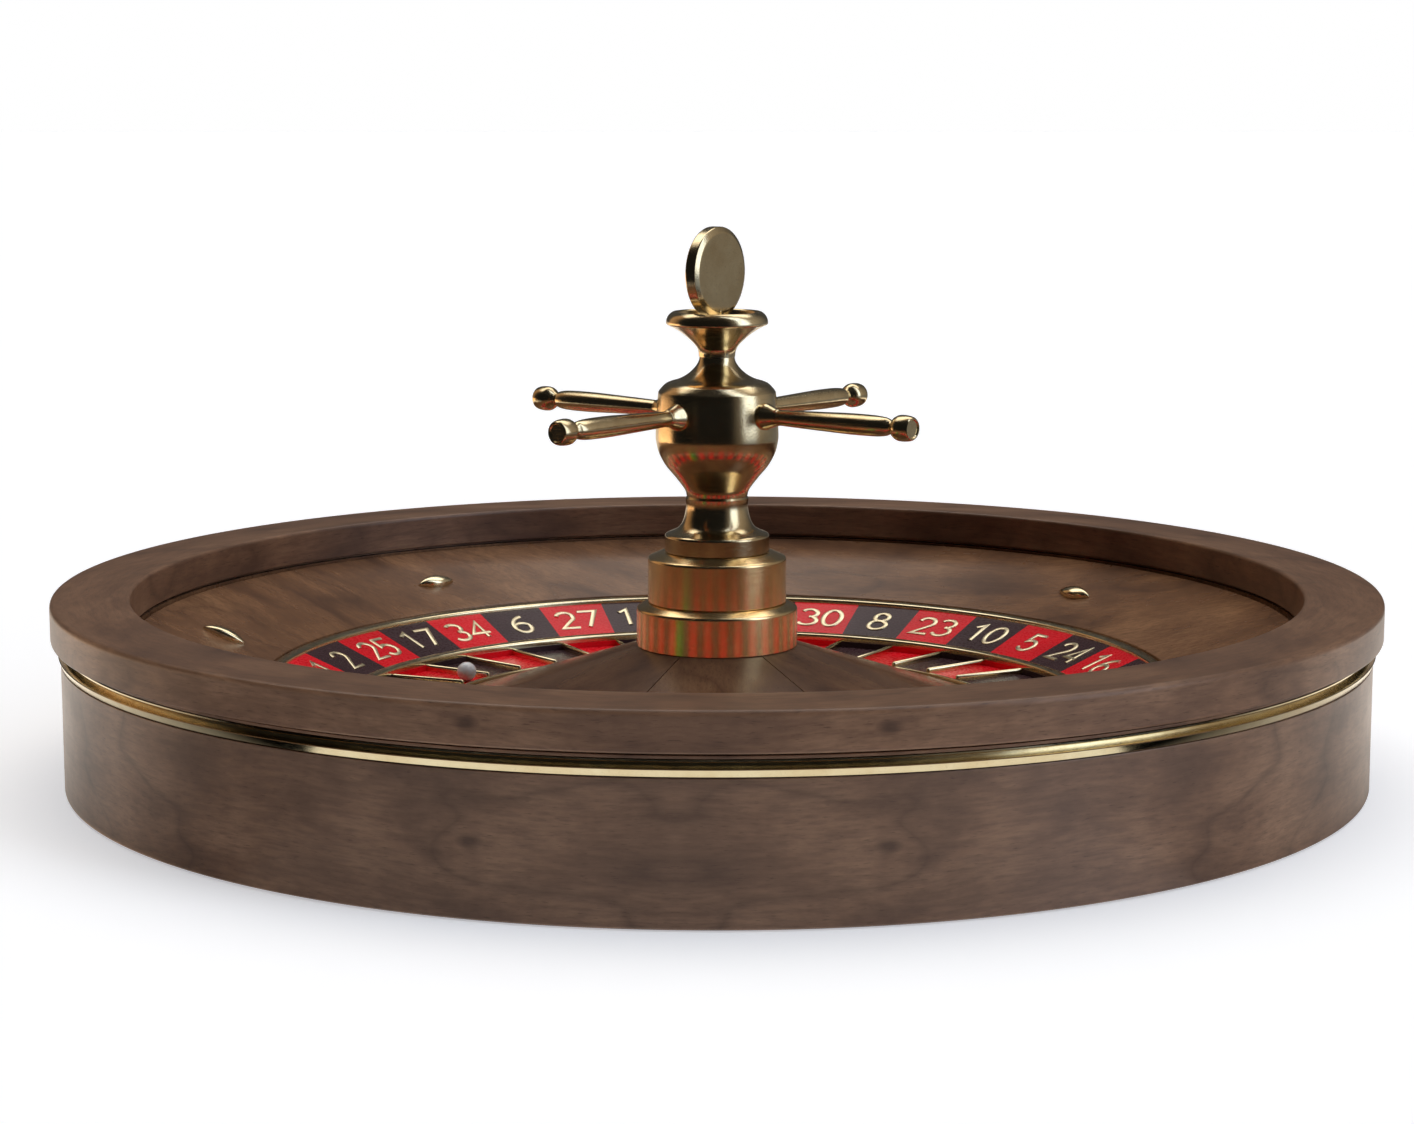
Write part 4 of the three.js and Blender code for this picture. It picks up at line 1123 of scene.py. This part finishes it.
def add_floor():
    """A wide, pale floor that fades to white."""
    material, graph, inputs = new_material("pale_floor")
    grit = graph.noise(place(graph), scale=30.0, detail=4.0)
    graph.feed(inputs["Base Color"], graph.mix(grit, (0.8, 0.8, 0.8), (0.77, 0.77, 0.77)))
    inputs["Roughness"].default_value = 1.0
    inputs["Specular IOR Level"].default_value = 0.0
    inputs["Emission Color"].default_value = (0.96, 1, 1.08, 1)
    inputs["Emission Strength"].default_value = 0.42
    far = FLOOR_HALF_SIZE
    corners = [(-far, -far, 0), (far, -far, 0), (far, far, 0), (-far, far, 0)]
    floor = new_scenery("floor", corners, [(0, 1, 2, 3)], material)
    floor.visible_glossy = False
    floor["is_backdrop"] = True


def add_reflected_floor():
    """A glowing patch, seen only in reflections, that paints the pale floor's reflection beside and behind
    the drum, fading towards the front.
    """
    material, graph, glow = glowing_material("painted_floor_reflection")
    # Painted reflection: this glow stands in for the lit floor that the drum's sides mirror, and it is no
    # lamp.
    glow["Color"].default_value = (1, 0.93, 0.84, 1)
    split = graph.node("ShaderNodeSeparateXYZ")
    graph.feed(split.inputs[0], place(graph))
    graph.feed(glow["Strength"], graph.span(split.outputs["Y"], -0.3, 0.14, 0.0, 1.4))
    verts, faces = [], []
    for step in range(REFLECTED_FLOOR_STEPS + 1):
        angle = math.radians(REFLECTED_FLOOR_START + REFLECTED_FLOOR_SWEEP * step / REFLECTED_FLOOR_STEPS)
        for radius in REFLECTED_FLOOR_RADII:
            verts.append((radius * math.cos(angle), radius * math.sin(angle), REFLECTED_FLOOR_HEIGHT))
    for step in range(REFLECTED_FLOOR_STEPS):
        faces.append((2 * step, 2 * step + 1, 2 * step + 3, 2 * step + 2))
    patch = new_scenery("painted_floor_reflection", verts, faces, material)
    patch.visible_camera = False
    patch.visible_diffuse = False
    patch.visible_shadow = False
    patch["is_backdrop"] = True


def add_backdrop():
    """A white wall behind, seen by the camera and not mirrored in the brass."""
    material, _, glow = glowing_material("white_backdrop")
    glow["Strength"].default_value = 1.0
    far, wide = BACKDROP_DISTANCE, BACKDROP_HALF_WIDTH
    corners = [(-wide, far, -1), (wide, far, -1), (wide, far, wide), (-wide, far, wide)]
    wall = new_scenery("backdrop", corners, [(0, 1, 2, 3)], material)
    wall.visible_glossy = False
    wall.visible_diffuse = False
    wall.visible_shadow = False
    wall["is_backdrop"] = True


def add_world():
    """A dark studio over a pale floor: a window to the right, a bright far wall, amber at its left.

    A soft light hangs above. Mirrors see it as a broad panel behind the wheel, with darkness
    straight above. Azimuth 0 is +X and 90 the far side. Every level is a radiance.
    """
    world = bpy.data.worlds.new("studio")
    world.use_nodes = True
    bpy.context.scene.world = world
    graph = Graph(world.node_tree)
    split = graph.node("ShaderNodeSeparateXYZ")
    direction = graph.node("ShaderNodeTexCoord").outputs["Generated"]
    graph.feed(split.inputs[0], direction)
    x, y, z = split.outputs
    azimuth = graph.span(graph.math("ARCTAN2", y, x), -math.pi, math.pi, 0.0, 1.0)

    def tinted(level, tint):
        """A colour that gives this radiance at the world's strength."""
        return tuple(level * value / WORLD_STRENGTH for value in tint)

    def ring(levels):
        """Light round the horizon, from an azimuth in degrees, a level and a tint for each stop."""
        stops = [((angle + 180) / 360, tinted(level, tint)) for angle, level, tint in levels]
        return graph.ramp(azimuth, stops)

    def above(low, high):
        """0 under the first elevation and 1 over the second, in degrees."""
        return graph.span(z, math.sin(math.radians(low)), math.sin(math.radians(high)), 0.0, 1.0)

    plain, warm, amber, cool = (1, 1, 1), (1, 0.87, 0.72), (1, 0.62, 0.34), (0.85, 0.97, 1.15)
    pale_floor = tinted(0.9, (1, 0.96, 0.88))
    ceiling = tinted(2.0, (1, 0.96, 0.9))
    dark_front = [(-180, 0.01, plain), (-62, 0.01, plain), (-50, 0.1, warm), (-42, 0.14, warm)]
    low_ring = ring([
        *dark_front, (-35, 0.3, cool), (-14, 0.3, cool), (-6, 0.2, warm), (10, 0.18, plain),
        (50, 0.16, plain), (80, 0.3, warm), (88, 1.0, warm), (122, 0.8, warm), (136, 2.1, amber),
        (172, 2.1, amber), (178, 0.02, plain),
    ])
    high_ring = ring([
        *dark_front, (-35, 2.05, cool), (-14, 2.05, cool), (-6, 0.4, warm), (60, 0.06, plain),
        (130, 0.06, plain), (138, 0.5, amber), (158, 0.3, amber), (172, 0.02, plain),
    ])
    light = graph.mix(above(-27, -20), pale_floor, low_ring)
    light = graph.mix(above(-6, 1), light, high_ring)
    overhead = graph.node("ShaderNodeVectorMath", operation="DOT_PRODUCT")
    graph.feed(overhead.inputs[0], direction)
    overhead.inputs[1].default_value = (0, math.sin(CEILING_TILT), math.cos(CEILING_TILT))
    soft_light = graph.span(
        overhead.outputs["Value"], math.cos(SOFT_LIGHT_EDGE), math.cos(SOFT_LIGHT_CORE), 0.0, 1.0,
    )
    below_top = graph.math("SUBTRACT", 1.0, above(68, 78))
    back_light = graph.math("MULTIPLY", graph.math("MULTIPLY", above(43, 51), below_top),
                            graph.span(y, 0.05, 0.3, 0.0, 1.0))
    mirrored = graph.node("ShaderNodeLightPath").outputs["Is Glossy Ray"]
    light = graph.mix(graph.mix(mirrored, soft_light, back_light), light, ceiling)
    background = graph.nodes["Background"]
    graph.feed(background.inputs["Color"], light)
    background.inputs["Strength"].default_value = WORLD_STRENGTH


add_camera()
add_drum()
add_band()
add_rim()
add_apron()
add_deflectors()
add_number_ring()
add_beads()
add_pockets()
add_separators()
add_numerals()
add_cone()
add_ball()
dress_hidden()
add_tiers()
add_neck()
add_vase()
add_cup()
add_finial()
add_handles()
add_floor()
add_reflected_floor()
add_backdrop()
add_world()
bpy.context.scene.view_settings.view_transform = "Standard"

sizes = {"cad": cad_bounds, "visual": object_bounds()}
{key: [list(corner) for corner in corners] for key, corners in sizes.items()}
